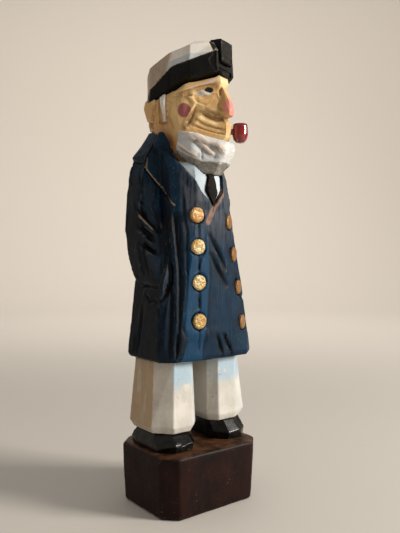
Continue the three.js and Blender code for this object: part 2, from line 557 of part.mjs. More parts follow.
// ---------------------------------------------------------------- fitting the pieces together
const head = turnHead(carve(headBlock, [capClear, hairRoom, stem.hole]));
const headRoom = turnHead(join([loft(grown(faceRings, PARTING)), carve(loft(grown(beardRings, PARTING)), [])]));
const coatBody = carve(coatForm, [
  loft(grown(sleeveRings, PARTING)), loft(grown(leftSleeveRings, PARTING)), collarRoom, openingSolid(0), headRoom,
  ...frontGouges, sideGroove(1), sideGroove(-1), backSeam,
  ...rightButtons.map((b) => b.room), ...leftButtons.map((b) => b.room),
  ...hipDowels.map((d) => d.hole), ...sleeveDowels.map((d) => d.hole), neckDowel.hole,
]);

piece("base_block", carve(base, legDowels.map((d) => d.hole)), PAINT.maroon);
piece("right_shoe", carve(rightShoe, [legDowels[0].hole]), PAINT.black);
piece("left_shoe", carve(leftShoe, [legDowels[1].hole]), PAINT.black);
piece("right_trouser_leg", carve(loft(rightLegRings), [legDowels[0].hole, hipDowels[0].hole]), PAINT.white);
piece("left_trouser_leg", carve(loft(leftLegRings), [legDowels[1].hole, hipDowels[1].hole]), PAINT.white);
piece("coat_body", coatBody, PAINT.navy);
piece("right_sleeve", carve(sleeveForm, [...elbowGouges(1), collarRoom, sleeveDowels[0].hole]), PAINT.navy);
piece("left_sleeve", carve(leftSleeveForm, [...elbowGouges(-1), collarRoom, sleeveDowels[1].hole]), PAINT.navy);
piece("coat_collar", carve(coatCollar, [headRoom]), PAINT.navy);
piece("right_lapel", carve(rightLapel, [headRoom, rightButtons[0].room]), PAINT.navy);
piece("left_lapel", carve(leftLapel, [headRoom, leftButtons[0].room]), PAINT.navy);
piece("shirt_front", carve(shirt, [headRoom]), PAINT.blue);
piece("necktie", carve(tie, [headRoom]), PAINT.black);
piece("head", carve(head, [neckDowel.hole, turnHead(capDowel.hole)]), PAINT.skin);
piece("hair_back", turnHead(hairBack), PAINT.hair);
piece("sideburn_right", turnHead(sideburn(-1)), PAINT.hair);
piece("sideburn_left", turnHead(sideburn(1)), PAINT.hair);
piece("beard", turnHead(beard), PAINT.hair);
piece("cap_band", turnHead(carve(bandForm, [panelRoom, visorRoom, capDowel.hole])), PAINT.black);
piece("cap_crown", turnHead(carve(crownForm, [panelRoom, visorRoom, capDowel.hole])), PAINT.white);
piece("cap_front_panel", turnHead(panelForm), PAINT.black);
piece("cap_visor", turnHead(carve(visorForm, [headGrown])), PAINT.black);
piece("pipe_stem", turnHead(stem.body), PAINT.red);
piece("pipe_bowl", turnHead(carve(bowl, [stem.hole])), PAINT.red);
rightButtons.forEach((b, i) => piece(`button_right_${i + 1}`, b.body, PAINT.gold));
leftButtons.forEach((b, i) => piece(`button_left_${i + 1}`, b.body, PAINT.gold));
piece("leg_dowel_right", legDowels[0].body, PAINT.wood);
piece("leg_dowel_left", legDowels[1].body, PAINT.wood);
piece("hip_dowel_right", hipDowels[0].body, PAINT.wood);
piece("hip_dowel_left", hipDowels[1].body, PAINT.wood);
piece("neck_dowel", neckDowel.body, PAINT.wood);
piece("cap_dowel", turnHead(capDowel.body), PAINT.wood);
piece("sleeve_dowel_right", sleeveDowels[0].body, PAINT.wood);
piece("sleeve_dowel_left", sleeveDowels[1].body, PAINT.wood);

export default group;
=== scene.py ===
"""A painted, hand-carved wooden sea captain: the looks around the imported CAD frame.

Each CAD node is copied as an even, dense mesh, which knife cuts, flats and swellings then shape.
Lengths are millimetres in the materials and the carving, and metres for the camera, the lights and the floor.
The figure faces -Y. Its head is turned, so the head's pieces are worked in the head's own frame, where the
face looks along -Y too. What the materials have to know about a surface, such as how near a cut is, is kept
on the vertices as named numbers, called fields here. A field that a piece doesn't have reads 0.
"""

import json
import math

import bpy
import numpy as np
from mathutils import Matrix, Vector, noise


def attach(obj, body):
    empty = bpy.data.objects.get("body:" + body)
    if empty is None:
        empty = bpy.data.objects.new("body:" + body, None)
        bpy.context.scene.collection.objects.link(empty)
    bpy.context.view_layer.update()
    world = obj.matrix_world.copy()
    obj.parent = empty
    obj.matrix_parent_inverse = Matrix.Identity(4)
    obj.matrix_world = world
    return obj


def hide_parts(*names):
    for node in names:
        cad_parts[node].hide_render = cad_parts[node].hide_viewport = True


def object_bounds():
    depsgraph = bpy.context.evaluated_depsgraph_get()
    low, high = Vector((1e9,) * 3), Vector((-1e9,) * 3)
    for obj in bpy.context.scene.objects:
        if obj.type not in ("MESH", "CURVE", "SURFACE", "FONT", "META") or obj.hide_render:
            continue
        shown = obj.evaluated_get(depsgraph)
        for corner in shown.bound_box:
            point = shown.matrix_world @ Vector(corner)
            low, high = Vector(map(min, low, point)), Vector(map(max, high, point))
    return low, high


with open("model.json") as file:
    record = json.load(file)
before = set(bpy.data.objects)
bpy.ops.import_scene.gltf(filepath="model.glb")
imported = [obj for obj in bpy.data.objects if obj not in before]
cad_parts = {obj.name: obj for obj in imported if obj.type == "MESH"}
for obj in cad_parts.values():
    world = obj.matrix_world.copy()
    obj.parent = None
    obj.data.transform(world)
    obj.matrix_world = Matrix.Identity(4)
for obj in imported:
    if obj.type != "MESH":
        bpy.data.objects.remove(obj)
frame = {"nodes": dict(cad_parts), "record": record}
CAD_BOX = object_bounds()
SLOT_OF = {part["node"]: part["material_slot"] for part in frame["record"]["subparts"]}

MM = 0.001
HEAD_TURN = math.radians(20)
FAR = 50.0          # a distance field's value where its mark is nowhere near
PATH_SINK = 2.0     # how far a path's straight span may pass below or above the surface
SEEN_FROM = 0.05    # how far a surface has to turn towards a cut's direction to be reached by it
SHRINK, REGROW = 0.5, 0.52      # one step of smoothing, and the step back that keeps the size
FACING_WEIGHT = 2.6     # what a turn of the surface counts for against distance, in knife planes
EDGE_GAIN, HOLLOW_GAIN = 9, 11  # how soon a bend of the surface counts as a full edge or hollow
HAIR_RADIUS = 15.5  # of the back of the hair, round the head's upright axis
BUTTON_TRIM = 0.9   # the carved button's width as a share of the CAD button's
VISOR_FRONT = 6.0   # the part of the visor behind its front edge that is bent
VISOR_TRIM = 3.2    # how far the visor's front edge is pulled back
VISOR_RISE = 2.6    # how far it is raised
FORWARD = (0, -1, 0)
BACKWARD = (0, 1, 0)

SENSOR_WIDTH = 36
LENS = 40.53
CAMERA_PLACE = (-0.16045, -0.21713, 0.10813)
CAMERA_DIP = 0.97
CAMERA_BEARING = -37.5

FLOOR_RADIUS = 0.95     # the flat part of the floor
SWEEP_RADIUS = 0.6      # the quarter round that joins it to the wall
WALL_TOP = 1.1


# ----- camera, floor and light
def linked(name, data):
    """A new object in the scene."""
    obj = bpy.data.objects.new(name, data)
    bpy.context.collection.objects.link(obj)
    return obj


def make_camera():
    """A viewpoint off the figure's right front corner, level with its middle."""
    data = bpy.data.cameras.new("camera")
    data.sensor_width = SENSOR_WIDTH
    data.lens = LENS
    data.clip_start = 0.01
    camera = linked("camera", data)
    camera.location = CAMERA_PLACE
    camera.rotation_euler = (math.radians(90 - CAMERA_DIP), 0, math.radians(CAMERA_BEARING))
    bpy.context.scene.camera = camera


def area_light(name, place, aim, power, size, colour, spread):
    """A square soft box at place, turned to aim. spread is the width of its beam in degrees."""
    data = bpy.data.lights.new(name, "AREA")
    data.energy = power
    data.spread = math.radians(spread)
    data.size = size
    data.color = colour
    lamp = linked(name, data)
    lamp.location = place
    lamp.rotation_euler = (Vector(aim) - Vector(place)).to_track_quat("-Z", "Y").to_euler()


def make_floor():
    """A pale floor that sweeps up into a low round wall far from the figure."""
    steps, turns = 14, 72
    profile = [(0.001, 0), (0.3, 0), (FLOOR_RADIUS, 0)]
    for i in range(1, steps + 1):
        a = math.pi / 2 * i / steps
        profile.append((FLOOR_RADIUS + SWEEP_RADIUS * math.sin(a), SWEEP_RADIUS * (1 - math.cos(a))))
    profile.append((FLOOR_RADIUS + SWEEP_RADIUS, WALL_TOP))
    angles = [2 * math.pi * k / turns for k in range(turns)]
    points = [(r * math.cos(a), r * math.sin(a), height) for r, height in profile for a in angles]
    faces = []
    for i in range(len(profile) - 1):
        for k in range(turns):
            m = (k + 1) % turns
            faces.append((i * turns + k, i * turns + m, (i + 1) * turns + m, (i + 1) * turns + k))
    mesh = bpy.data.meshes.new("studio_floor")
    mesh.from_pydata(points, [], faces)
    mesh.shade_smooth()
    floor = linked("studio_floor", mesh)
    paint = bpy.data.materials.new("studio_floor")
    paint.use_nodes = True
    shader = paint.node_tree.nodes["Principled BSDF"]
    shader.inputs["Base Color"].default_value = (0.67, 0.625, 0.57, 1)
    shader.inputs["Roughness"].default_value = 0.85
    mesh.materials.append(paint)


def make_lights():
    """A soft sky, a window to the figure's left front, and a wash on the wall behind it."""
    world = bpy.data.worlds.new("studio")
    bpy.context.scene.world = world
    world.use_nodes = True
    sky = world.node_tree.nodes["Background"]
    sky.inputs["Color"].default_value = (1.0, 0.985, 0.95, 1)
    sky.inputs["Strength"].default_value = 0.42
    area_light("window", place=(0.6, -0.75, 0.44), aim=(0, 0, 0.1), power=5.6, size=0.3,
               colour=(1.0, 0.955, 0.885), spread=125)
    area_light("wall_wash", place=(0.25, 0.3, 0.9), aim=(0.95, 1.2, 0.2), power=5.5, size=0.7,
               colour=(1.0, 0.94, 0.87), spread=130)
    bpy.context.scene.view_settings.view_transform = "Standard"


# ----- materials
def tint(code):
    """A linear colour from six hex digits."""
    channels = [int(code[i:i + 2], 16) / 255 for i in (0, 2, 4)]
    linear = [c / 12.92 if c < 0.04045 else ((c + 0.055) / 1.055) ** 2.4 for c in channels]
    return (*linear, 1)


class Finish:
    """A node material being built. Its textures are laid out in millimetres on the object."""

    def __init__(self, name, coat=0.0, coat_rough=0.1, specular=0.5, metal=0.0):
        self.material = bpy.data.materials.new(name)
        self.material.use_nodes = True
        self.tree = self.material.node_tree
        self.shader = self.tree.nodes["Principled BSDF"]
        for socket, value in (("Coat Weight", coat), ("Coat Roughness", coat_rough),
                              ("Specular IOR Level", specular), ("Metallic", metal)):
            self.shader.inputs[socket].default_value = value
        where = self.new("ShaderNodeTexCoord").outputs["Object"]
        self.place = self.vector("SCALE", where, scale=1 / MM)
        self.normal = self.new("ShaderNodeNewGeometry").outputs["Normal"]

    def new(self, kind, **settings):
        node = self.tree.nodes.new(kind)
        for name, value in settings.items():
            setattr(node, name, value)
        return node

    def plug(self, socket, value):
        if isinstance(value, bpy.types.NodeSocket):
            self.tree.links.new(value, socket)
        else:
            socket.default_value = value

    def vector(self, operation, a, b=None, scale=None):
        node = self.new("ShaderNodeVectorMath", operation=operation)
        self.plug(node.inputs[0], a)
        if b is not None:
            self.plug(node.inputs[1], b)
        if scale is not None:
            node.inputs["Scale"].default_value = scale
        return node.outputs["Vector"]

    def sum(self, operation, a, b, clamp=False):
        node = self.new("ShaderNodeMath", operation=operation, use_clamp=clamp)
        self.plug(node.inputs[0], a)
        self.plug(node.inputs[1], b)
        return node.outputs[0]

    def times(self, first, *others):
        """The product of any number of values."""
        for other in others:
            first = self.sum("MULTIPLY", first, other)
        return first

    def noise(self, size, detail=3.0, rough=0.55, twist=0.0, shift=0.0):
        """Noise with lumps about size millimetres wide; size may be one number or one for each axis."""
        sizes = size if isinstance(size, tuple) else (size, size, size)
        spot = self.vector("MULTIPLY", self.place, tuple(1 / s for s in sizes))
        spot = self.vector("ADD", spot, (shift, shift * 0.7, -shift * 0.4))
        node = self.new("ShaderNodeTexNoise")
        for socket, value in (("Scale", 1), ("Detail", detail), ("Roughness", rough),
                              ("Distortion", twist), ("Vector", spot)):
            self.plug(node.inputs[socket], value)
        return node.outputs["Fac"]

    def step(self, value, low, high):
        """0 below low and 1 above high, smooth between; low may be the greater of the two."""
        node = self.new("ShaderNodeMapRange", interpolation_type="SMOOTHSTEP")
        for socket, setting in (("Value", value), ("From Min", min(low, high)), ("From Max", max(low, high)),
                                ("To Min", float(low > high)), ("To Max", float(low < high))):
            self.plug(node.inputs[socket], setting)
        return node.outputs["Result"]

    def blend(self, amount, a, b):
        """Colour a, turning to colour b as amount goes from 0 to 1."""
        node = self.new("ShaderNodeMix", data_type="RGBA")
        for socket, value in zip((node.inputs[0], node.inputs[6], node.inputs[7]), (amount, a, b)):
            self.plug(socket, value)
        return node.outputs[2]

    def paint(self, colour, code, *amounts):
        """The colour with a paint over it, as strong as the product of the amounts."""
        return self.blend(self.times(*amounts), colour, tint(code))

    def field(self, name):
        return self.new("ShaderNodeAttribute", attribute_name=name).outputs["Fac"]

    def part(self, vector, axis):
        split = self.new("ShaderNodeSeparateXYZ")
        self.plug(split.inputs[0], vector)
        return split.outputs[axis]

    def facing(self, axis, low, high):
        """A step over how far the surface faces along one axis, from -1 to 1."""
        return self.step(self.part(self.normal, axis), low, high)

    def along(self, axis, low, high):
        """A step over the place on the object along one axis."""
        return self.step(self.part(self.place, axis), low, high)

    def finish(self, colour, roughness, heights):
        """heights is [(height field, strength, depth in mm)], from coarse to fine."""
        self.plug(self.shader.inputs["Base Color"], colour)
        self.plug(self.shader.inputs["Roughness"], roughness)
        last = None
        for height, strength, depth in heights:
            bump = self.new("ShaderNodeBump")
            bump.inputs["Strength"].default_value = strength
            bump.inputs["Distance"].default_value = depth * MM
            self.plug(bump.inputs["Height"], height)
            if last is not None:
                self.plug(bump.inputs["Normal"], last)
            last = bump.outputs["Normal"]
        self.plug(self.shader.inputs["Normal"], last)
        return self.material


def painted(name, light, dark, streak, shade_and_grime, bare_wood_and_highlight, rough=0.5, coat=0.02, edge_wear_and_highlight=0.5, shade_and_grime_amount=0.85,
            dust=0.0, dust_colour=None, specks=0.0, speck_colour="6b3a2a", grain=(0.5, 0.5, 14),
            bump=0.35, streaks=0.45, extra=None, over=None, coat_rough=0.18, specular=0.5):
    """Hand-brushed satin paint over carved timber.

    light and dark mottle together, and streak shows along the grain. Hollows take a darker colour, which is
    painted shade mixed with grime. Convex edges take the edge colour, which is rubbed-through paint on some
    pieces and a painted highlight on others, and the lips of the knife cuts take it as bare timber.
    extra(finish, colour) adds a piece's own painted areas below the darker hollows, and over(finish, colour)
    paints marks on top of it.
    """
    f = Finish(name, coat=coat, coat_rough=coat_rough, specular=specular)
    mottle = f.noise(11, detail=4, twist=0.4)
    brush = f.noise(grain, detail=5, rough=0.65)
    fine = f.noise((grain[0] * 0.4, grain[1] * 0.4, grain[2] * 0.5), detail=3, shift=7.0)
    colour = f.blend(f.step(mottle, 0.32, 0.68), tint(dark), tint(light))
    colour = f.paint(colour, streak, f.step(brush, 0.47, 0.72), streaks)
    if extra:
        colour = extra(f, colour)
    # Painted shade mixed with grime darkens the hollows.
    colour = f.paint(colour, shade_and_grime, f.field("hollow"), shade_and_grime_amount)
    if over:
        colour = over(f, colour)
    if dust:
        patchy = f.step(f.noise(7, detail=5, rough=0.6, shift=3.0), 0.3, 0.75)
        colour = f.paint(colour, dust_colour, f.facing("Z", 0.55, 0.95), patchy, dust)
    if specks:
        spots = f.step(f.noise(0.9, detail=1, shift=11.0), 0.7, 0.76)
        areas = f.step(f.noise(9, detail=2, shift=5.0), 0.5, 0.62)
        colour = f.paint(colour, speck_colour, spots, areas, specks)
    # Convex edges take the edge colour: rubbed-through paint on some pieces and a painted highlight on
    # others.
    rubbed = f.sum("ADD", f.field("edge"), f.times(f.noise(2.2, detail=4, shift=2.0), 0.9))
    worn_and_lit_edges = f.times(f.step(rubbed, 0.95, 1.35), edge_wear_and_highlight)
    colour = f.paint(colour, bare_wood_and_highlight, worn_and_lit_edges)
    broken = f.sum("ADD", f.field("bare"), f.times(f.noise((1.0, 1.0, 2.4), detail=3), 0.9))
    lip = f.step(broken, 1.05, 0.75)
    colour = f.paint(colour, bare_wood_and_highlight, lip, 0.85)
    roughness = f.sum("ADD", f.times(brush, 0.22), rough - 0.11)
    roughness = f.sum("ADD", roughness, f.times(f.sum("MAXIMUM", worn_and_lit_edges, lip), 0.25), clamp=True)
    return f.finish(colour, roughness, [(mottle, 0.3, 0.5), (brush, bump, 0.16), (fine, bump, 0.07)])


def coat_marks(f, colour):
    """Painted reflection on panel and chest, painted light on the sleeve, painted shade by the panel, right
    side, gouges.
    """
    # The panel's lighter blue and its pale streaks are a painted reflection of the window on the front
    # facets.
    inside = f.sum("ADD", f.field("panel"), f.times(f.noise((0.7, 0.7, 5), shift=4.0), 1.2))
    panel = f.times(f.step(inside, 2.3, 2.9), f.along("Z", 131, 113))
    colour = f.paint(colour, "0d3c5c", panel, 0.75)
    pale = f.step(f.noise((0.35, 0.35, 12), detail=4, rough=0.7, shift=6.0), 0.5, 0.75)
    colour = f.paint(colour, "3f687f", panel, pale, 0.25)
    # A painted grey sheen on the front-facing chest, the top of the same reflection.
    chest = f.times(f.facing("Y", -0.45, -0.85), f.along("Z", 110, 127))
    brushed = f.step(f.noise((1.2, 1.2, 9), detail=4, shift=9.0), 0.3, 0.6)
    colour = f.paint(colour, "4d5058", chest, brushed, f.along("X", -13.2, -12), 0.85)
    # Painted shade on the front-facing coat between the panel and the right sleeve.
    shade_beside_panel = f.times(f.along("X", -11, -13), f.along("Z", 131, 125))
    uncovered = f.sum("SUBTRACT", 1.0, panel)
    colour = f.paint(colour, "060d15", shade_beside_panel, uncovered, f.facing("Y", 0.3, -0.1), 0.6)
    # Painted light: the right sleeve's front facets are made lighter, as the window lights them.
    sleeve = f.times(f.along("X", -18, -20), f.facing("X", -0.97, -0.85))
    colour = f.paint(colour, "2b3745", sleeve, f.along("Z", 86, 92), f.along("Z", 142, 138), 0.6)
    scratch = f.step(f.noise((0.3, 0.3, 30), detail=1, shift=13.0), 0.66, 0.72)
    colour = f.paint(colour, "4c6476", scratch, 0.4)
    # Painted shade on the faces turned to the figure's right, away from the window.
    colour = f.paint(colour, "090a0d", f.facing("X", -0.86, -0.98), f.along("Z", 148, 138), 0.65)
    # Painted shade in the gouges between the buttons and at the hem.
    return f.paint(colour, "02060b", f.field("gouge"), 0.85)


def coat_rubs(f, colour):
    """The flat edge of the far lapel, rubbed down to brown, and thin rubbed streaks round the cuffs."""
    streaky = f.step(f.noise((5, 5, 0.5), shift=3.0), 0.5, 0.62)
    colour = f.paint(colour, "6b4a2e", f.step(f.field("cuff"), 2.6, 1.2), streaky, 0.6)
    patchy = f.step(f.noise((0.8, 0.8, 4), detail=4, shift=5.0), 0.3, 0.55)
    return f.paint(colour, "9a7660", f.field("rub"), patchy, 0.85)


def face_marks(f, colour):
    """Shaded neck, lit and shaded folds, cheeks, nose tip, brows and eyes of a stock carved face."""
    wobble = f.times(f.noise(1.3, detail=2), 0.5)
    neck = f.times(f.along("Z", 170, 158), f.step(f.field("jaw"), -4.0, 3.0))
    colour = f.paint(colour, "a4683b", neck, 0.75)
    for name, code, amount, soft in (("lit", "fbe3ac", 0.75, 1.0), ("shade", "80592e", 0.85, 1.0),
                                     ("cheek", "a15058", 0.93, 0.22), ("tip", "ea8f86", 0.95, 0.5),
                                     ("brow", "d9c6c2", 0.9, 0.22), ("eye", "ddd8d0", 0.95, 0.22),
                                     ("pupil", "0d0b0a", 1.0, 0.12)):
        near = f.sum("ADD", f.field(name), wobble)
        colour = f.paint(colour, code, f.step(near, 0.25 + soft, 0.25 - soft), amount)
    return colour


def beard_marks(f, colour):
    """Painted highlight in warm white on the cut ridges, and a speckled grey-brown painted shade on the
    underside.
    """
    # Painted shade on the underside below the beard's hem, speckled darker with the grime mask.
    under = f.step(f.sum("ADD", f.field("under"), f.noise(2.5, shift=2.0)), 0.9, 0.1)
    grime = f.step(f.noise(1.6, detail=4, shift=6.0), 0.35, 0.6)
    colour = f.paint(colour, "7d776a", under, 0.75)
    colour = f.paint(colour, "4f463a", under, grime, 0.5)
    # Painted highlight along the cut ridges, where they catch the light.
    near = f.sum("ADD", f.field("ridge_highlight"), f.times(f.noise(1.5), 0.3))
    return f.paint(colour, "ffe6d2", f.step(near, 0.75, 0.4), 0.9)


def hair_marks(f, colour):
    """Skin below the ears, where the hair's block reaches down behind the jaw."""
    return f.paint(colour, "bd8d56", f.step(f.field("nape"), -0.4, 0.4))


def cap_marks(f, colour):
    """Crown: dust and painted shade behind, painted shade on the lit front side, painted sky reflection over
    the band, cream edge, black front.
    """
    # Dust and painted shade together on the crown's back, turned from the window.
    back = f.step(f.field("back"), -1.2, 1.2)
    streaks = f.step(f.noise((1.0, 1.0, 8), detail=4, shift=3.0), 0.25, 0.7)
    colour = f.paint(colour, "b3997f", back, 0.8)
    colour = f.paint(colour, "75665a", back, streaks, 0.4)
    # Painted shade: the crown's front side, lit most by the window, is greyed.
    colour = f.paint(colour, "d2cfc9", f.step(f.field("back"), -6.0, -9.0), 0.5)
    before_back = f.step(f.field("back"), 1.0, -1.0)
    # Painted reflection of the sky: a bluish stripe on the facet just above the band.
    colour = f.paint(colour, "b4c2cd", f.step(f.field("strip"), 0.35, -0.35), before_back, 0.75)
    colour = f.paint(colour, "f3e2c4", f.step(f.field("cream"), 0.9, 0.3), 0.9)
    return f.paint(colour, "100e0c", f.step(f.field("front"), 0.12, -0.12))


def panel_marks(f, colour):
    """Tan streaks and a tan top edge, where the black has been rubbed from the cap's front panel."""
    streaks = f.step(f.noise((4.5, 1.2, 0.9), detail=4, shift=8.0), 0.55, 0.7)
    colour = f.paint(colour, "7d6144", streaks, f.facing("Y", -0.2, -0.7), f.along("Z", 190, 193), 0.35)
    patchy = f.step(f.noise(2.5, shift=1.0), 0.42, 0.6)
    return f.paint(colour, "a98a55", f.facing("Z", 0.4, 0.9), patchy, 0.6)


def trouser_marks(f, colour):
    """Painted shade in patchy tan on the right leg's outer side, blue patches, and shaded and cool facets
    further in.
    """
    # Painted shade: the right leg's outer faces, turned away from the window, in patchy warm tan.
    outer = f.times(f.facing("X", -0.78, -0.95), f.along("X", -2, -6))
    shade_patches = f.step(f.noise((3.0, 3.0, 16), detail=3, shift=2.0), 0.1, 0.5)
    colour = f.paint(colour, "ab8a5f", outer, shade_patches, 0.8)
    patchy = f.step(f.noise(8, detail=2, shift=4.0), 0.38, 0.45)
    colour = f.paint(colour, "9dbbcf", f.facing("Y", -0.5, -0.85), f.along("Z", 50, 56), patchy, 0.8)
    colour = f.paint(colour, "8b8579", f.facing("X", -0.6, -0.9), f.along("X", 0, 3), 0.6)
    cool = f.step(f.noise(8, shift=9.0), 0.35, 0.6)
    return f.paint(colour, "b4c3cc", f.facing("X", 0.15, 0.6), cool, 0.55)


def base_marks(f, colour):
    """Pale scuffs low on the block's faces."""
    scuff = f.step(f.noise((3.2, 3.2, 1.1), detail=5, rough=0.7, shift=12.0), 0.62, 0.72)
    return f.paint(colour, "6d5648", scuff, f.along("Z", 26, 8), 0.35)


def gilded(name):
    """Worn gold paint, brown where it is rubbed: more orange in the top row, browner in the far column."""
    f = Finish(name, coat=0.1, coat_rough=0.3, metal=0.2)
    grime = f.noise(0.8, detail=5, rough=0.7)
    broad = f.noise(14, detail=1, shift=3.0)
    colour = f.blend(f.step(broad, 0.4, 0.6), tint("bd9550"), tint("c9b585"))
    colour = f.paint(colour, "694620", f.field("hollow"), 0.9)
    colour = f.paint(colour, "7c5628", f.step(grime, 0.5, 0.66), 0.6)
    # Paler gold on convex edges: rubbed paint and a painted highlight together.
    colour = f.paint(colour, "dccb9c", f.field("edge"), 0.3)
    colour = f.paint(colour, "b97a32", f.along("Z", 119, 122), 0.55)
    colour = f.paint(colour, "85592c", f.along("X", 9.0, 11.5), 0.9)
    return f.finish(colour, f.sum("ADD", f.times(grime, 0.3), 0.3), [(grime, 0.5, 0.12)])


def plain_wood(name):
    """Unpainted wooden dowel: long grain and pores."""
    f = Finish(name, specular=0.3)
    rings = f.noise((0.8, 0.8, 20), detail=4, twist=0.6)
    pores = f.noise((0.18, 0.18, 3), detail=2, shift=4.0)
    colour = f.blend(f.step(rings, 0.35, 0.65), tint("c79f6b"), tint("e3c493"))
    colour = f.paint(colour, "8a6238", f.step(pores, 0.6, 0.75), 0.5)
    return f.finish(colour, f.sum("ADD", f.times(rings, 0.2), 0.5), [(pores, 0.4, 0.08)])


def make_finishes():
    """One material for each slot of the record."""
    # Each recipe's edge colour is bare timber on some paints and a painted highlight on others, as on the
    # base.
    # Each recipe's hollow colour is painted shade mixed with grime.
    recipes = {
        "base_paint": dict(
            light="220b07", dark="120503", streak="2f150f", shade_and_grime="060202", bare_wood_and_highlight="54424a", edge_wear_and_highlight=0.2,
            specular=0.14, dust=0.9, dust_colour="6b4a32", specks=0.8, speck_colour="7b6354",
            grain=(1.6, 1.6, 9), extra=base_marks),
        "shoe_gloss": dict(
            light="0c0b0b", dark="050505", streak="1a1512", shade_and_grime="020202", bare_wood_and_highlight="4a3527", rough=0.3,
            coat=0.15, edge_wear_and_highlight=0.12, dust=0.35, dust_colour="2d2018", coat_rough=0.12, bump=0.25,
            specular=0.25),
        "trouser_paint": dict(
            light="dcd7ce", dark="c4bfb6", streak="b3ada2", shade_and_grime="84745c", bare_wood_and_highlight="efe8dd", rough=0.55,
            coat=0.04, edge_wear_and_highlight=0.3, specks=1.0, extra=trouser_marks, streaks=0.15, bump=0.2),
        "coat_paint": dict(
            light="09283e", dark="051a2b", streak="1a3a52", shade_and_grime="010305", bare_wood_and_highlight="a3917b", edge_wear_and_highlight=0.14,
            grain=(0.42, 0.42, 20), specks=0.3, speck_colour="7c8894", extra=coat_marks, over=coat_rubs,
            streaks=0.5, specular=0.13, bump=0.5, shade_and_grime_amount=1.0),
        "shirt_paint": dict(
            light="c8d5dc", dark="adbfca", streak="d3dde2", shade_and_grime="7f8d95", bare_wood_and_highlight="eef4f6", rough=0.55,
            coat=0.03, edge_wear_and_highlight=0.2),
        "tie_paint": dict(
            light="15100c", dark="0a0806", streak="2a1e14", shade_and_grime="030202", bare_wood_and_highlight="4a3624", rough=0.7,
            coat=0.0, edge_wear_and_highlight=0.3, specular=0.12),
        "face_paint": dict(
            light="e9c58a", dark="d6a96c", streak="bd8c54", shade_and_grime="6b4826", bare_wood_and_highlight="f3d9a4", rough=0.45,
            coat=0.1, over=face_marks, streaks=0.3, grain=(0.9, 0.9, 10), shade_and_grime_amount=0.45, bump=0.2),
        "hair_paint": dict(
            light="f4efe9", dark="dcd5cd", streak="b9aea3", shade_and_grime="6f6254", bare_wood_and_highlight="fff3e4", rough=0.48,
            coat=0.06, grain=(0.6, 0.6, 9), over=hair_marks),
        "beard_paint": dict(
            light="dddedd", dark="bbc0c5", streak="d6d2cc", shade_and_grime="857f74", bare_wood_and_highlight="ffe9d8", rough=0.62,
            edge_wear_and_highlight=0.6, over=beard_marks, grain=(0.7, 0.7, 7), shade_and_grime_amount=0.6, streaks=0.3),
        "cap_white": dict(
            light="fbf5ec", dark="ece6dc", streak="cfc6ba", shade_and_grime="6a6054", bare_wood_and_highlight="efe2cc", rough=0.48,
            coat=0.05, edge_wear_and_highlight=0.35, over=cap_marks),
        "cap_black": dict(
            light="0e0d0b", dark="070605", streak="1a1511", shade_and_grime="020202", bare_wood_and_highlight="43352a", coat=0.06,
            edge_wear_and_highlight=0.05, extra=panel_marks, grain=(6, 6, 0.6), coat_rough=0.3, specular=0.16, bump=0.15),
        "pipe_gloss": dict(
            light="8c1218", dark="5e0c10", streak="a81c20", shade_and_grime="2a0506", bare_wood_and_highlight="c0605a", rough=0.16,
            coat=0.9, edge_wear_and_highlight=0.1, coat_rough=0.05, bump=0.15),
    }
    finishes = {slot: painted(slot, **recipe) for slot, recipe in recipes.items()}
    finishes["button_gold"] = gilded("button_gold")
    finishes["dowel_wood"] = plain_wood("dowel_wood")
    return finishes


# ----- carving
def unit(v):
    v = np.asarray(v, float)
    return v / np.maximum(np.linalg.norm(v, axis=-1, keepdims=True), 1e-12)


def dots(a, b):
    return np.einsum("ij,ij->i", a, b)


def to_side(path, side):
    """The path itself for side 1, and its mirror image for side -1."""
    return [(side * x, y, z) for x, y, z in path]


def ball(points, centre, radius):
    """1 well inside a ball, falling to 0 over its outer millimetre."""
    return np.clip(radius - np.linalg.norm(points - centre, axis=1), 0, 1)


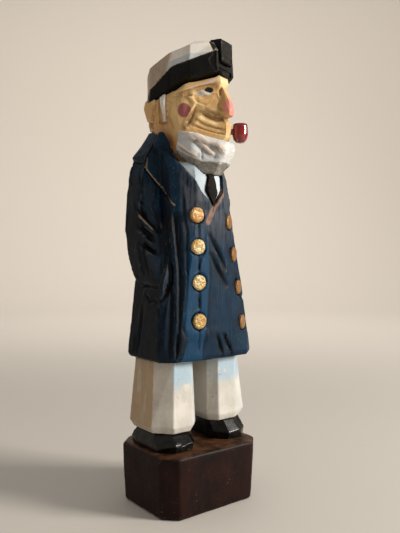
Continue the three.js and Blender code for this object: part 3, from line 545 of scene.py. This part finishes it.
class Carving:
    """A dense copy of one CAD node, or of several that are one skin.

    grain is the mesh size. turned means that the piece is worked in the head's own frame. Gaps under twice
    close between the nodes are filled.
    """

    def __init__(self, node, grain, turned=False, smooth=2, others=(), close=0.0):
        self.nodes = (node, *others)
        self.grain = grain
        self.turned = turned
        self.obj = linked(node + "_carved", self.gathered())
        self.even()
        if close:
            self.p += self.n * close
            self.mesh.vertices.foreach_set("co", (self.p * MM).ravel())
            self.even()
            self.p -= self.n * close
        if turned:
            self.p = self.turn(self.p, -HEAD_TURN)
        # Paints shared by several pieces would take these two for a distance of 0 where they are missing.
        self.fields = {name: np.full(len(self.p), FAR) for name in ("bare", "cuff")}
        self.soften(smooth)

    def gathered(self):
        """The nodes' meshes as one."""
        points, faces = [], []
        for node in self.nodes:
            source = frame["nodes"][node].data
            start = len(points)
            points += [tuple(v.co) for v in source.vertices]
            faces += [[start + v for v in face.vertices] for face in source.polygons]
        mesh = bpy.data.meshes.new(self.nodes[0])
        mesh.from_pydata(points, [], faces)
        return mesh

    def even(self):
        """Makes the mesh again from even quads, and reads its points, edges and faces."""
        weld = self.obj.modifiers.new("weld", "WELD")
        weld.merge_threshold = 1e-6
        remesh = self.obj.modifiers.new("even", "REMESH")
        remesh.mode = "VOXEL"
        remesh.voxel_size = self.grain * MM
        ready = self.obj.evaluated_get(bpy.context.evaluated_depsgraph_get())
        mesh = bpy.data.meshes.new_from_object(ready)
        self.obj.modifiers.clear()
        self.obj.data = mesh
        mesh.name = self.obj.name
        self.mesh = mesh
        count = len(mesh.vertices)
        points = np.empty(count * 3)
        mesh.vertices.foreach_get("co", points)
        self.p = points.reshape(-1, 3) / MM
        ends = np.empty(len(mesh.edges) * 2, np.int64)
        mesh.edges.foreach_get("vertices", ends)
        self.ends = ends.reshape(-1, 2)
        self.degree = np.bincount(self.ends.ravel(), minlength=count)
        corners = np.empty(len(mesh.loops), np.int64)
        mesh.loops.foreach_get("vertex_index", corners)
        self.quads = corners.reshape(-1, 4)
        self.look()

    @staticmethod
    def turn(points, angle):
        c, s = math.cos(angle), math.sin(angle)
        return points @ np.array([[c, s, 0], [-s, c, 0], [0, 0, 1]])

    def mean(self, values):
        """Each vertex's neighbours' mean."""
        columns = values.reshape(len(values), -1).T
        a, b = self.ends.T
        totals = [np.bincount(a, column[b], len(values)) + np.bincount(b, column[a], len(values))
                  for column in columns]
        return (np.stack(totals, axis=1) / self.degree[:, None]).reshape(values.shape)

    def look(self):
        """Works the vertex normals out again."""
        q = self.p[self.quads]
        face = np.cross(q[:, 2] - q[:, 0], q[:, 3] - q[:, 1])
        totals = [sum(np.bincount(corner, column, len(self.p)) for corner in self.quads.T)
                  for column in face.T]
        self.n = unit(np.stack(totals, axis=1))

    def outward(self, path):
        """The level direction from the object's upright axis to the middle of a path."""
        middle = np.mean(path, axis=0)
        return unit((middle[0], middle[1], 0))

    def snapped(self, path, out):
        """The path with each point moved to the nearest vertex that faces out."""
        near = self.p[(self.n @ unit(out)) > SEEN_FROM]
        return np.array([near[np.argmin(((near - q) ** 2).sum(1))] for q in np.asarray(path, float)])

    def measure(self, path, out):
        """Distance to a path, the side of it that each vertex is on, and how far along it, from 0 to 1.

        A straight span may pass a little below or above the surface, and that part of the gap isn't counted.
        """
        path = self.snapped(path, out)
        spans = np.linalg.norm(np.diff(path, axis=0), axis=1)
        before = np.concatenate([[0], np.cumsum(spans)])
        best = np.full(len(self.p), 1e9)
        side = np.zeros(len(self.p))
        share = np.zeros(len(self.p))
        for a, b, span, start in zip(path[:-1], path[1:], spans, before):
            t = np.clip((self.p - a) @ (b - a) / span ** 2, 0, 1)
            gap = self.p - (a + t[:, None] * (b - a))
            below = np.clip(dots(gap, self.n), -PATH_SINK, PATH_SINK)
            far = np.sqrt(np.maximum((gap ** 2).sum(1) - below ** 2, 0))
            nearer = far < best
            best[nearer] = far[nearer]
            turn = dots(np.cross(self.n, b - a), gap)
            side[nearer] = np.sign(turn[nearer])
            share[nearer] = ((start + t * span) / before[-1])[nearer]
        return best, side, share

    def seen(self, out):
        """1 on the faces that look along out, so that a cut leaves the far side of a thin piece alone."""
        return np.clip((self.n @ unit(out) - SEEN_FROM) / 0.15, 0, 1)

    def cut(self, path, width, depth, lean=0.0, out=None, blunt=0.25, rim=0.0):
        """A knife cut of a V section along a path. lean from -1 to 1 moves its floor to one side.

        blunt is the share of the path at each end over which it runs out, and rim bares the wood at its lip.
        """
        out = self.outward(path) if out is None else out
        far, side, share = self.measure(path, out)
        reach = width * (1 + lean * side)
        fall = np.clip(1 - far / np.maximum(reach, 0.05), 0, 1)
        ends = np.clip(np.minimum(share, 1 - share) / blunt, 0, 1) ** 0.7
        self.p -= self.n * (depth * fall * ends * self.seen(out))[:, None]
        if rim:
            other_side = side * (1 if lean >= 0 else -1) >= 0
            lip = np.abs(far - reach) + 4 * other_side + (1 - ends) + (1 - self.seen(out)) * FAR
            self.keep_least("bare", lip / rim)
        self.look()

    def keep_least(self, name, far):
        """Lowers a distance field to new distances where these are smaller."""
        self.fields[name] = np.minimum(self.fields.get(name, FAR), far)

    def line(self, name, path, out=None):
        """Adds the distance to a path to a field, such as the bare wood along an edge."""
        out = self.outward(path) if out is None else out
        self.keep_least(name, self.measure(path, out)[0] + (1 - self.seen(out)) * FAR)

    def spot(self, name, centre, radii, axes=np.eye(3), out=None):
        """Adds an oval's outline to a field: below 0 inside, in millimetres from its edge."""
        scaled = np.linalg.norm((self.p - centre) @ unit(axes).T / radii, axis=1)
        unseen = 0 if out is None else (1 - self.seen(out)) * FAR
        self.keep_least(name, (scaled - 1) * min(radii) + unseen)

    def swell(self, centre, radii, height):
        """Raises a soft oval."""
        away = np.linalg.norm((self.p - centre) / radii, axis=1)
        self.p += self.n * (height * np.clip(1 - away ** 2, 0, 1) ** 2)[:, None]
        self.look()

    def shave(self, point, facing, reach, most):
        """A flat knife cut: what stands above a plane within reach of the point comes down to it."""
        facing = unit(facing)
        above = (self.p - point) @ facing
        near = np.clip((reach - np.linalg.norm(self.p - point, axis=1)) / (0.12 * reach), 0, 1)
        near *= np.clip((self.n @ facing - 0.1) / 0.2, 0, 1)
        self.p -= facing * (np.clip(above, 0, most) * near)[:, None]
        self.look()

    def knife(self, size, depth, tall=0.5, seed=0):
        """Flattens the surface into a patchwork of small planes, as a knife leaves it.

        Each vertex belongs to the seed nearest to it in place and in facing. tall < 1 makes the planes long.
        """
        rng = np.random.default_rng(seed)
        key = np.hstack([self.p * (1, 1, tall), self.n * size * FACING_WEIGHT]).astype(np.float32)
        area = len(self.quads) * self.grain ** 2
        seeds = key[rng.permutation(len(key))[:max(6, int(area / size ** 2 * tall))]]
        owner = np.empty(len(key), np.int64)
        at_once = 20000
        for i in range(0, len(key), at_once):
            part = key[i:i + at_once]
            owner[i:i + at_once] = np.argmin((seeds ** 2).sum(1) - 2 * part @ seeds.T, axis=1)

        def summed(values):
            return np.stack([np.bincount(owner, column, len(seeds)) for column in values.T], axis=1)

        centre = summed(self.p) / np.maximum(np.bincount(owner, minlength=len(seeds)), 1)[:, None]
        facing = unit(summed(self.n))
        height = dots(self.p - centre[owner], facing[owner])
        flat = np.clip((dots(self.n, facing[owner]) - 0.9) / 0.06, 0, 1)
        self.p -= facing[owner] * (np.clip(height, -depth, depth) * flat)[:, None]
        self.look()

    def calm(self, where, times):
        """Smooths the vertices where a mask from 0 to 1 says so."""
        amount = 0.5 * np.asarray(where, float)[:, None]
        for _ in range(times):
            self.p += amount * (self.mean(self.p) - self.p)
        self.look()

    def rough(self, size, height, seed=0.0):
        """Uneven hand work: the surface rises and falls by height over lumps of size."""
        lift = np.array([noise.noise(Vector(q)) for q in (self.p / size + seed)])
        self.p += self.n * (height * lift)[:, None]
        self.look()

    def soften(self, times=1):
        """Takes the sharpness off, and keeps the size."""
        for _ in range(times):
            self.p += SHRINK * (self.mean(self.p) - self.p)
            self.p -= REGROW * (self.mean(self.p) - self.p)
        self.look()

    def done(self):
        """Keeps the shape inside the CAD box, stores the fields and hands the piece to the frame."""
        bend = -dots(self.mean(self.p) - self.p, self.n) / self.grain
        for _ in range(2):
            bend = self.mean(bend)
        self.fields["edge"] = np.clip(bend * EDGE_GAIN, 0, 1)
        self.fields["hollow"] = np.clip(-bend * HOLLOW_GAIN, 0, 1)
        points = self.turn(self.p, HEAD_TURN) if self.turned else self.p
        points = np.clip(points, *(np.array(corner) / MM for corner in CAD_BOX))
        self.mesh.vertices.foreach_set("co", (points * MM).ravel())
        for name, values in self.fields.items():
            kept = self.mesh.attributes.new(name, "FLOAT", "POINT")
            kept.data.foreach_set("value", values.astype(np.float32))
        slot = SLOT_OF[self.nodes[0]]
        self.mesh.materials.clear()
        self.mesh.materials.append(FINISHES[slot])
        self.mesh.shade_smooth()
        self.mesh.update()
        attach(self.obj, "root")
        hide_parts(*self.nodes)


# ----- the pieces
# Paths near the surface, each of a few points, which are snapped onto it. These are on the coat.
LAPEL_LIP = [(-21.5, 9.5, 151.5), (-22, 2, 145.5), (-18.5, -0.5, 140), (-16, -4, 135),
             (-15, -10, 129.5)]
LAPEL_END = 129.2
FAR_LAPEL = [(7.5, -13.5, 137), (1.5, -16.5, 129.5), (-1.5, -16, 122.5)]
PLEAT = [(-15.5, -10, 127), (-15, -12, 112.5), (-15, -13.5, 102), (-16, -15, 90.5),
         (-17, -16, 80.5), (-18.5, -16.5, 71), (-19, -17, 65)]
SIDE_PLEAT = [(-17, -6, 126), (-18, -11, 106), (-18.5, -13, 90), (-21, -15, 65)]
PANEL_LEFT = [(-12, -12, 135), (-12, -13, 126.5), (-11, -14, 118), (-11.5, -15, 105.5),
              (-12.5, -16, 95), (-14.5, -17, 84), (-15, -17, 77.5), (-12.5, -17, 74)]
PANEL_RIGHT = [(-1.5, -16.5, 115), (-1, -16.5, 98), (-3.5, -17, 80.5), (-6, -17.5, 65)]
CLOSURE = [(-6, -14.5, 129), (-6, -14.5, 122.5), (-6.5, -16.5, 89.5), (-7.5, -17.5, 68)]
FRONT_GOUGES = [[(-1, -16.5, 118), (3, -16, 110.5), (8, -16, 101)],
                [(-1, -16.5, 109.5), (3, -16.5, 102.5), (8.5, -16, 94)]]
HEM_GOUGES = [[(2, -17.5, 75), (5, -17.5, 65)], [(6, -17.5, 74.5), (10.5, -17, 64.5)]]
POCKET_EDGE = [(-18, -11, 105.5), (-18, -12, 101), (-19, -12, 96), (-21, -11, 90.5),
               (-22, -9, 87.5)]
POCKET_HAND = [(-22, -9, 88), (-23, -5, 89.5), (-23, -2, 88.5), (-23, 2.5, 91.5)]
# The two edges of the front panel, where its painted reflection goes, each as (height, x) from the hem up.
PANEL_SIDES = ([(65, -16), (74, -13), (77.7, -14.8), (84, -14.4), (95, -12.5), (105, -11.3), (118, -10.9),
                (135, -12.1)],
               [(65, -6.2), (80.7, -3.3), (98, -1.2), (115, -1.5), (135, -1.0)])
# And these are on the right sleeve.
ELBOW_CUTS = [[(-24.5, 7, 129.5), (-22.5, 1.5, 124.5), (-19.5, -2.5, 119.5), (-18.5, -5, 117)],
              [(-24.5, 5.5, 121), (-22, -1.5, 115.5), (-20.5, -4, 113.5)],
              [(-24, 4, 113.5), (-21.5, -4.5, 109.5), (-20, -6.5, 108.5)]]
SLEEVE_CREASE = [(-23.5, 6.5, 150), (-24.5, 2.5, 132), (-24.5, 0.5, 112), (-23, -3, 98)]
SLEEVE_FOLD = [(-21, -2, 134), (-20.5, -4.5, 122), (-20.5, -8, 108), (-21, -9.5, 96)]
CUFF = [(-22.5, 4, 94.5), (-22.5, -2, 93.5), (-22, -8, 92.5)]


def cut_coat_front(coat):
    """Pleats, panel edges, the overlap of the two halves and the gouges between the buttons."""
    coat.cut(PLEAT, 1.5, 1.1, lean=0.35, out=(-0.7, -0.7, 0), blunt=0.06)
    coat.cut(SIDE_PLEAT, 1.6, 0.9, lean=-0.4, out=(-0.8, -0.6, 0), blunt=0.1)
    coat.cut(PANEL_LEFT, 1.3, 0.5, lean=-0.5, out=FORWARD, blunt=0.06)
    coat.cut(PANEL_RIGHT, 1.0, 0.25, lean=0.5, out=FORWARD, blunt=0.08)
    coat.cut(CLOSURE, 0.6, 0.6, out=FORWARD, blunt=0.05)
    coat.cut(FAR_LAPEL[1:], 0.8, 0.4, lean=-0.5, out=FORWARD, blunt=0.1)
    for gouge in FRONT_GOUGES:
        coat.cut(gouge, 1.35, 1.5, lean=0.3, out=FORWARD, blunt=0.45)
    for gouge in HEM_GOUGES:
        coat.cut(gouge, 1.1, 1.3, lean=0.2, out=FORWARD, blunt=0.35)


def cut_coat_back(coat):
    """Two long pleats on each half of the back, and a short one low on each side."""
    for side in (-1, 1):
        for x in (4.5, 11.0):
            pleat = [(side * x, 17.0, 112.0), (side * (x + 1.2), 18.5, 90.0), (side * (x + 2.5), 19.5, 65.0)]
            coat.cut(pleat, 1.5, 0.9, lean=side * 0.4, out=BACKWARD, blunt=0.25)
        coat.cut([(side * 23.5, 3.0, 88.0), (side * 24.8, 5.0, 65.0)], 1.5, 0.9, lean=0.3, blunt=0.3)


def cut_pockets(coat):
    """The slanted edge of each pocket, and the outline of the hand in it."""
    for side in (1, -1):
        edge, hand = to_side(POCKET_EDGE, side), to_side(POCKET_HAND, side)
        coat.cut(edge, 1.2, 1.0, lean=-0.3 * side, out=(-0.85 * side, -0.5, 0), blunt=0.12)
        coat.cut(hand, 1.5, 1.1, lean=-0.3 * side, out=(-side, -0.1, 0), blunt=0.12)


def mark_coat(coat):
    """Where the panel's painted reflection goes, where bare timber shows or paint is rubbed, and the gouges'
    painted shade.
    """
    left, right = (np.interp(coat.p[:, 2], *zip(*edge)) for edge in PANEL_SIDES)
    inside = np.minimum(coat.p[:, 0] - left, right - coat.p[:, 0])
    # The panel field places the painted reflection of the window on the front panel.
    coat.fields["panel"] = np.where(coat.n[:, 1] < -0.3, np.clip(inside + 2, 0, 4), 0)
    coat.line("bare", LAPEL_LIP)
    coat.line("rub", FAR_LAPEL, out=FORWARD)
    coat.fields["rub"] = np.clip((1.5 - coat.fields["rub"]) / 0.5, 0, 1)
    # The gouge field places the painted shade in the gouges.
    for gouge in FRONT_GOUGES + HEM_GOUGES:
        coat.line("gouge", gouge, out=FORWARD)
    coat.fields["gouge"] = np.clip(1.3 - coat.fields["gouge"], 0, 1)


def carve_coat():
    coat = Carving("coat_body", 0.5, others=("right_lapel", "left_lapel"), close=0.3, smooth=1)
    lapel_foot = np.clip(2.2 - np.abs(coat.p[:, 2] - LAPEL_END), 0, 1) * (coat.n[:, 1] < -0.4)
    coat.calm(lapel_foot, 40)
    coat.knife(9, 0.2, tall=0.3, seed=3)
    cut_coat_front(coat)
    cut_coat_back(coat)
    cut_pockets(coat)
    coat.cut(LAPEL_LIP, 1.1, 0.7, lean=-0.5, blunt=0.08)
    coat.rough(5, 0.12, seed=1.7)
    coat.soften()
    mark_coat(coat)
    coat.done()


def carve_sleeve(node, side):
    sleeve = Carving(node, 0.42)
    sleeve.knife(6, 0.3, tall=0.35, seed=5 + side)
    for number, path in enumerate(ELBOW_CUTS):
        sleeve.cut(to_side(path, side), 1.7, 1.6, lean=0.45 * side, blunt=0.3, rim=0 if number else 0.8)
    sleeve.cut(to_side(SLEEVE_CREASE, side), 1.2, 0.45, lean=0.5 * side, blunt=0.2)
    sleeve.cut(to_side(SLEEVE_FOLD, side), 1.0, 0.45, lean=-0.4 * side, blunt=0.2)
    sleeve.cut(to_side(CUFF, side), 0.8, 0.5, blunt=0.1)
    sleeve.line("cuff", to_side(CUFF, side))
    sleeve.rough(4, 0.12, seed=2.9)
    sleeve.soften()
    sleeve.done()


def carve_collar():
    collar = Carving("coat_collar", 0.36)
    collar.knife(5, 0.25, tall=0.8, seed=9)
    collar.rough(4, 0.1, seed=4.1)
    collar.done()


def carve_shirt():
    shirt = Carving("shirt_front", 0.36)
    shirt.knife(4, 0.15, seed=15)
    shirt.rough(3, 0.1, seed=6.1)
    shirt.done()


def carve_tie():
    tie = Carving("necktie", 0.3)
    tie.knife(2.2, 0.25, seed=16)
    tie.rough(1.6, 0.25, seed=7.7)
    tie.done()


# Paths on the right half of the face, in the head's own frame.
PLATE_TOP = [(-13, 0.5, 176), (-12, -5, 177), (-10, -8.5, 177)]
PLATE_BACK = [(-13, 0, 176), (-13, 2.5, 168.5), (-12.5, -0.5, 162.5)]
BROW = [(-13, -0.5, 177.5), (-10.5, -7.5, 179), (-7.5, -11.5, 180.5), (-4, -17, 182)]
BROW_PAINT = [(-10.5, -8, 179.5), (-7.5, -12.5, 181.5), (-5, -17, 183.5)]
EYE = (-6.5, -12, 178.5)
PUPIL = (-5, -13.5, 179.5)
EYE_BAG = [(-10, -8.5, 176.5), (-9, -10.5, 174), (-6.5, -13, 173), (-4, -15.5, 175)]
CHEEK = (-12.5, -5.5, 170.5)
CHEEK_FLAT = (-12, -4, 170.5)
SMILE = [(-8.5, -10.5, 173), (-10, -8.5, 169), (-12.5, -6, 163.5)]
LIP_TOP = [(-9, -10, 171), (-6.5, -13.5, 169), (-4, -17, 167), (-0.5, -19.5, 167.5)]
LIP_FOLD = [(-10, -9, 167.5), (-7.5, -13, 164.5), (-5, -16.5, 163), (-2, -20, 162.5)]
MOUTH = [(-11, -7.5, 165), (-8, -12.5, 162.5), (-5, -16, 161), (-2, -20.5, 160)]
NOSE_WING = [(-2.5, -17.5, 175.5), (-3, -17, 172.5), (-2.5, -19.5, 169.5)]
EAR = [(-14, 8, 174.5), (-14, 10, 171), (-12, 11, 167.5)]
JAW = [(-14, 6, 168), (-12, 4, 161), (-11, 1.5, 154.5)]
LIT_LIP = [(-8, -11.5, 168), (-5.5, -15, 165.5), (-3.5, -18, 165)]
LIT_BRIDGE = [(-4, -17.5, 185.5), (-2, -18, 182)]
LIT_CHEEK = [(-9.5, -9.5, 172.5), (-8, -11, 171), (-6.5, -13, 170.5), (-4, -16, 171)]


def cut_half_face(head, side):
    """The knife cuts on one half of the face: side is 1 for its right half and -1 for its left."""
    outward = (-0.75 * side, -0.65, 0)
    flat, flat_facing, eye = to_side([CHEEK_FLAT, (-0.93, -0.35, 0.05), EYE], side)
    head.shave(flat, flat_facing, 6.5, most=0.9)

    def knife(path, width, depth, lean, blunt=0.2):
        head.cut(to_side(path, side), width, depth, lean * side, outward, blunt)

    knife(PLATE_TOP, 1.5, 0.9, 0.45)
    knife(PLATE_BACK, 2.4, 0.8, -0.5, 0.12)
    knife(BROW, 1.9, 1.3, -0.55, 0.15)
    head.swell(eye, (3.6, 3.6, 1.9), 0.8)
    knife(EYE_BAG, 1.3, 0.8, 0.4)
    knife(SMILE, 2.2, 2.0, 0.35, 0.25)
    knife(LIP_TOP, 1.9, 1.5, -0.55, 0.15)
    knife(LIP_FOLD, 1.2, 0.8, -0.5)
    knife(MOUTH, 0.9, 1.0, 0.0)
    knife(NOSE_WING, 1.0, 0.7, 0.2, 0.3)
    head.cut(to_side(EAR, side), 1.2, 1.0, out=(-side, 0.1, 0), blunt=0.3)
    head.cut(to_side(JAW, side), 2.2, 0.6, lean=0.4 * side, out=(-side, 0, 0), blunt=0.25)


def mark_half_face(head, side):
    """Marks where one half of the face is painted, and smooths the hollow below its eye."""
    outward = (-0.75 * side, -0.65, 0)
    cheek, eye, pupil, dimple, along_eye, across_eye = to_side(
        [CHEEK, EYE, PUPIL, (-5, -14, 174.5), (0.59, -0.73, 0.36), (0.24, 0.3, 0.93)], side)
    eye_axes = (along_eye, across_eye, outward)
    head.spot("cheek", cheek, (3.1, 3.1, 3.1))
    head.line("brow", to_side(BROW_PAINT, side), out=outward)
    head.spot("eye", eye, (3.6, 1.25, 4.0), eye_axes, out=outward)
    head.spot("pupil", pupil, (1.8, 1.15, 4.0), eye_axes, out=outward)
    over_lip = [(x, y, z + 1.6) for x, y, z in LIP_TOP[1:3]]
    for path in (SMILE[1:], LIP_TOP[1:], over_lip):
        head.line("shade", to_side(path, side), out=outward)
    head.line("lit", to_side(LIT_LIP, side), out=outward)
    head.calm(ball(head.p, dimple, 2.6), 25)
    for path in (LIT_BRIDGE, LIT_CHEEK):
        head.line("lit", to_side(path, side), out=outward)


def carve_head():
    """Brow, eye, cheek, nose and mouth of a stock folk-carved face, the same on both sides."""
    head = Carving("head", 0.32, turned=True)
    x, y, z = head.p.T
    head.calm((y < 0) & (z > 163) & (z < 185.5) & (np.abs(x) > 3.4), 70)
    for side in (1, -1):
        cut_half_face(head, side)
        mark_half_face(head, side)
    head.spot("lit", (0, -18.5, 184), (4.2, 3.0, 2.2))
    for name, half_width in (("brow", 0.6), ("shade", 1.1), ("lit", 0.5)):
        head.fields[name] -= half_width
    head.swell((0, -21, 171), (4.0, 3.6, 4.2), 0.6)
    head.calm(ball(head.p, (0, -22.5, 170), 4.5), 45)
    head.spot("tip", (0, -21.5, 172), (3.9, 3.4, 3.8))
    head.fields["jaw"] = y.copy()
    head.calm((z > 183) & (y < -8), 6)
    head.knife(5, 0.1, tall=0.8, seed=21)
    head.rough(5, 0.06, seed=8.3)
    head.done()


def carve_hair():
    hair = Carving("hair_back", 0.36, turned=True)
    hair.knife(3.5, 0.25, seed=24)
    for x in (-9.0, -5.4, -1.8, 1.8, 5.4, 9.0):
        depth = math.sqrt(HAIR_RADIUS ** 2 - x ** 2)
        hair.cut([(x, depth, 178.0), (x * 0.9, depth - 0.6, 163.0)], 1.3, 0.7, out=BACKWARD, blunt=0.3)
    hair.rough(3, 0.15, seed=9.7)
    hair.fields["nape"] = np.minimum(np.abs(hair.p[:, 0]) - 8.5, 169 - hair.p[:, 2])
    hair.done()


def carve_sideburn(node):
    """Narrowed towards its front edge, more so lower down."""
    tuft = Carving(node, 0.3, turned=True)
    low = np.clip((178 - tuft.p[:, 2]) / 9, 0, 1)
    front = tuft.p[:, 1].min()
    tuft.p[:, 1] = front + (tuft.p[:, 1] - front) * (0.85 - 0.6 * low)
    tuft.look()
    tuft.fields["nape"] = np.full(len(tuft.p), -FAR)
    tuft.done()


# Paths on the right half of the beard, in the head's own frame.
LONG_RIDGES = [[(-12.5, -5.5, 161), (-10.5, -9.5, 160), (-8.5, -15, 157), (-6, -18.5, 155.5),
                (-2, -21, 154)],
               [(-12.5, -8.5, 159.5), (-9.5, -13, 155.5), (-5, -16.5, 151.5)],
               [(-12.5, -2.5, 157), (-12, -8.5, 152.5), (-10.5, -11, 151)]]
CHIN_RIDGE = [(-6.5, -18, 156.5), (-4, -19.5, 153.5), (-2, -20, 150.5)]
BEARD_HEM = [(-12.5, -3.5, 153), (-9, -12.5, 148.5), (-4, -16.5, 148.5), (0, -19, 148.5)]
BEARD_NOTCH = [(-9.5, -13, 154.5), (-9, -12.5, 149)]


def carve_beard():
    """Raised ridges with a groove below each long one, on both halves."""
    beard = Carving("beard", 0.34, turned=True)
    _, y, z = beard.p.T
    beard.calm((y < 0) & (z > 148) & (z < 160.5), 50)
    ridges = LONG_RIDGES + [CHIN_RIDGE]
    for side in (1, -1):
        outward = (-0.7 * side, -0.7, 0)
        for path in ridges:
            beard.cut(to_side(path, side), 2.0, -0.75, lean=0.3 * side, out=outward, blunt=0.3)
        for path, drop in zip(LONG_RIDGES, (2.1, 1.9, 1.7)):
            below = [(x, y, z - drop) for x, y, z in to_side(path, side)]
            beard.cut(below, 1.6, 0.7, lean=-0.3 * side, out=outward, blunt=0.3)
        # These paths also place the painted highlight along the cut ridges.
        for path in ridges:
            beard.line("ridge_highlight", to_side(path, side), out=outward)
        beard.cut(to_side(BEARD_HEM, side), 1.8, -0.4, out=outward, blunt=0.1)
        beard.cut(to_side(BEARD_NOTCH, side), 0.7, 0.4, out=outward, blunt=0.2)
    _, y, z = beard.p.T
    # Height above the beard's hem, which places the painted shade on the underside.
    beard.fields["under"] = z - np.interp(y, [-19, -12.5, -3.5, 3], [148.3, 148.5, 153.0, 156.0])
    beard.rough(4, 0.08, seed=10.9)
    beard.done()


def carve_crown():
    crown = Carving("cap_crown", 0.4, turned=True)
    crown.knife(7, 0.12, tall=0.8, seed=31)
    crown.rough(5, 0.06, seed=11.3)
    _, y, z = crown.p.T
    crown.fields["back"] = y - 1.0 + 0.25 * (z - 192)
    # Where the painted sky reflection lies, just above the band.
    crown.fields["strip"] = z - (191.6 + 2.9 * (y - 0.5) / -17.4)
    crown.fields["front"] = y + 15.2 + 0.5 * (198.8 - z)
    crown.line("cream", [(-7.5, -12.5, 199.5), (-6, -16.5, 195.5)])
    crown.soften()
    crown.done()


def carve_band():
    band = Carving("cap_band", 0.4, turned=True)
    band.knife(6, 0.25, tall=1.6, seed=33)
    band.rough(5, 0.1, seed=12.1)
    band.done()


def carve_panel():
    panel = Carving("cap_front_panel", 0.34, turned=True)
    panel.knife(3.5, 0.3, tall=1.4, seed=34)
    panel.rough(2.5, 0.15, seed=13.7)
    panel.done()


def carve_visor():
    """Its front edge is pulled back and raised."""
    visor = Carving("cap_visor", 0.3, turned=True)
    front = visor.p[:, 1].min()
    bent = np.clip((front + VISOR_FRONT - visor.p[:, 1]) / VISOR_FRONT, 0, 1)
    visor.p[:, 1] += VISOR_TRIM * bent
    visor.p[:, 2] += VISOR_RISE * bent
    visor.look()
    visor.knife(3.0, 0.2, seed=35)
    visor.rough(3, 0.1, seed=14.3)
    visor.done()


def carve_leg(node, seed):
    leg = Carving(node, 0.5, smooth=1)
    leg.knife(14, 0.12, tall=0.3, seed=seed)
    leg.rough(9, 0.08, seed=seed * 0.37)
    leg.rough(1.5, 0.03, seed=seed * 0.61)
    leg.done()


def carve_shoe(node, seed):
    shoe = Carving(node, 0.42)
    shoe.knife(6, 0.3, tall=1.2, seed=seed)
    shoe.rough(4, 0.12, seed=seed * 0.29)
    shoe.soften()
    shoe.done()


def carve_base():
    base = Carving("base_block", 0.65)
    base.rough(12, 0.2, seed=15.1)
    base.rough(1.8, 0.07, seed=16.9)
    base.soften()
    base.done()


def carve_pipe(node):
    pipe = Carving(node, 0.22)
    pipe.rough(2.5, 0.06, seed=17.3)
    pipe.done()


def carve_button(node, seed):
    """Trimmed across, with a random hammered relief."""
    button = Carving(node, 0.2, smooth=1)
    middle = (button.p.min(0) + button.p.max(0)) / 2
    button.p = middle + (button.p - middle) * (BUTTON_TRIM, 1, BUTTON_TRIM)
    button.rough(1.4, 0.2, seed=seed)
    button.rough(0.5, 0.14, seed=seed + 5)
    button.done()


make_camera()
make_floor()
make_lights()
FINISHES = make_finishes()
carve_base()
carve_leg("right_trouser_leg", 41)
carve_leg("left_trouser_leg", 42)
carve_shoe("right_shoe", 44)
carve_shoe("left_shoe", 45)
carve_coat()
carve_sleeve("right_sleeve", 1)
carve_sleeve("left_sleeve", -1)
carve_collar()
carve_shirt()
carve_tie()
carve_head()
carve_hair()
for name in ("sideburn_right", "sideburn_left"):
    carve_sideburn(name)
carve_beard()
carve_crown()
carve_band()
carve_panel()
carve_visor()
for name in ("pipe_bowl", "pipe_stem"):
    carve_pipe(name)
for side, first_seed in (("right", 0), ("left", 11)):
    for number in range(1, 5):
        carve_button(f"button_{side}_{number}", number * 1.9 + first_seed)
for name, slot_name in SLOT_OF.items():
    if slot_name == "dowel_wood":
        for slot in frame["nodes"][name].material_slots:
            slot.material = FINISHES[slot_name]
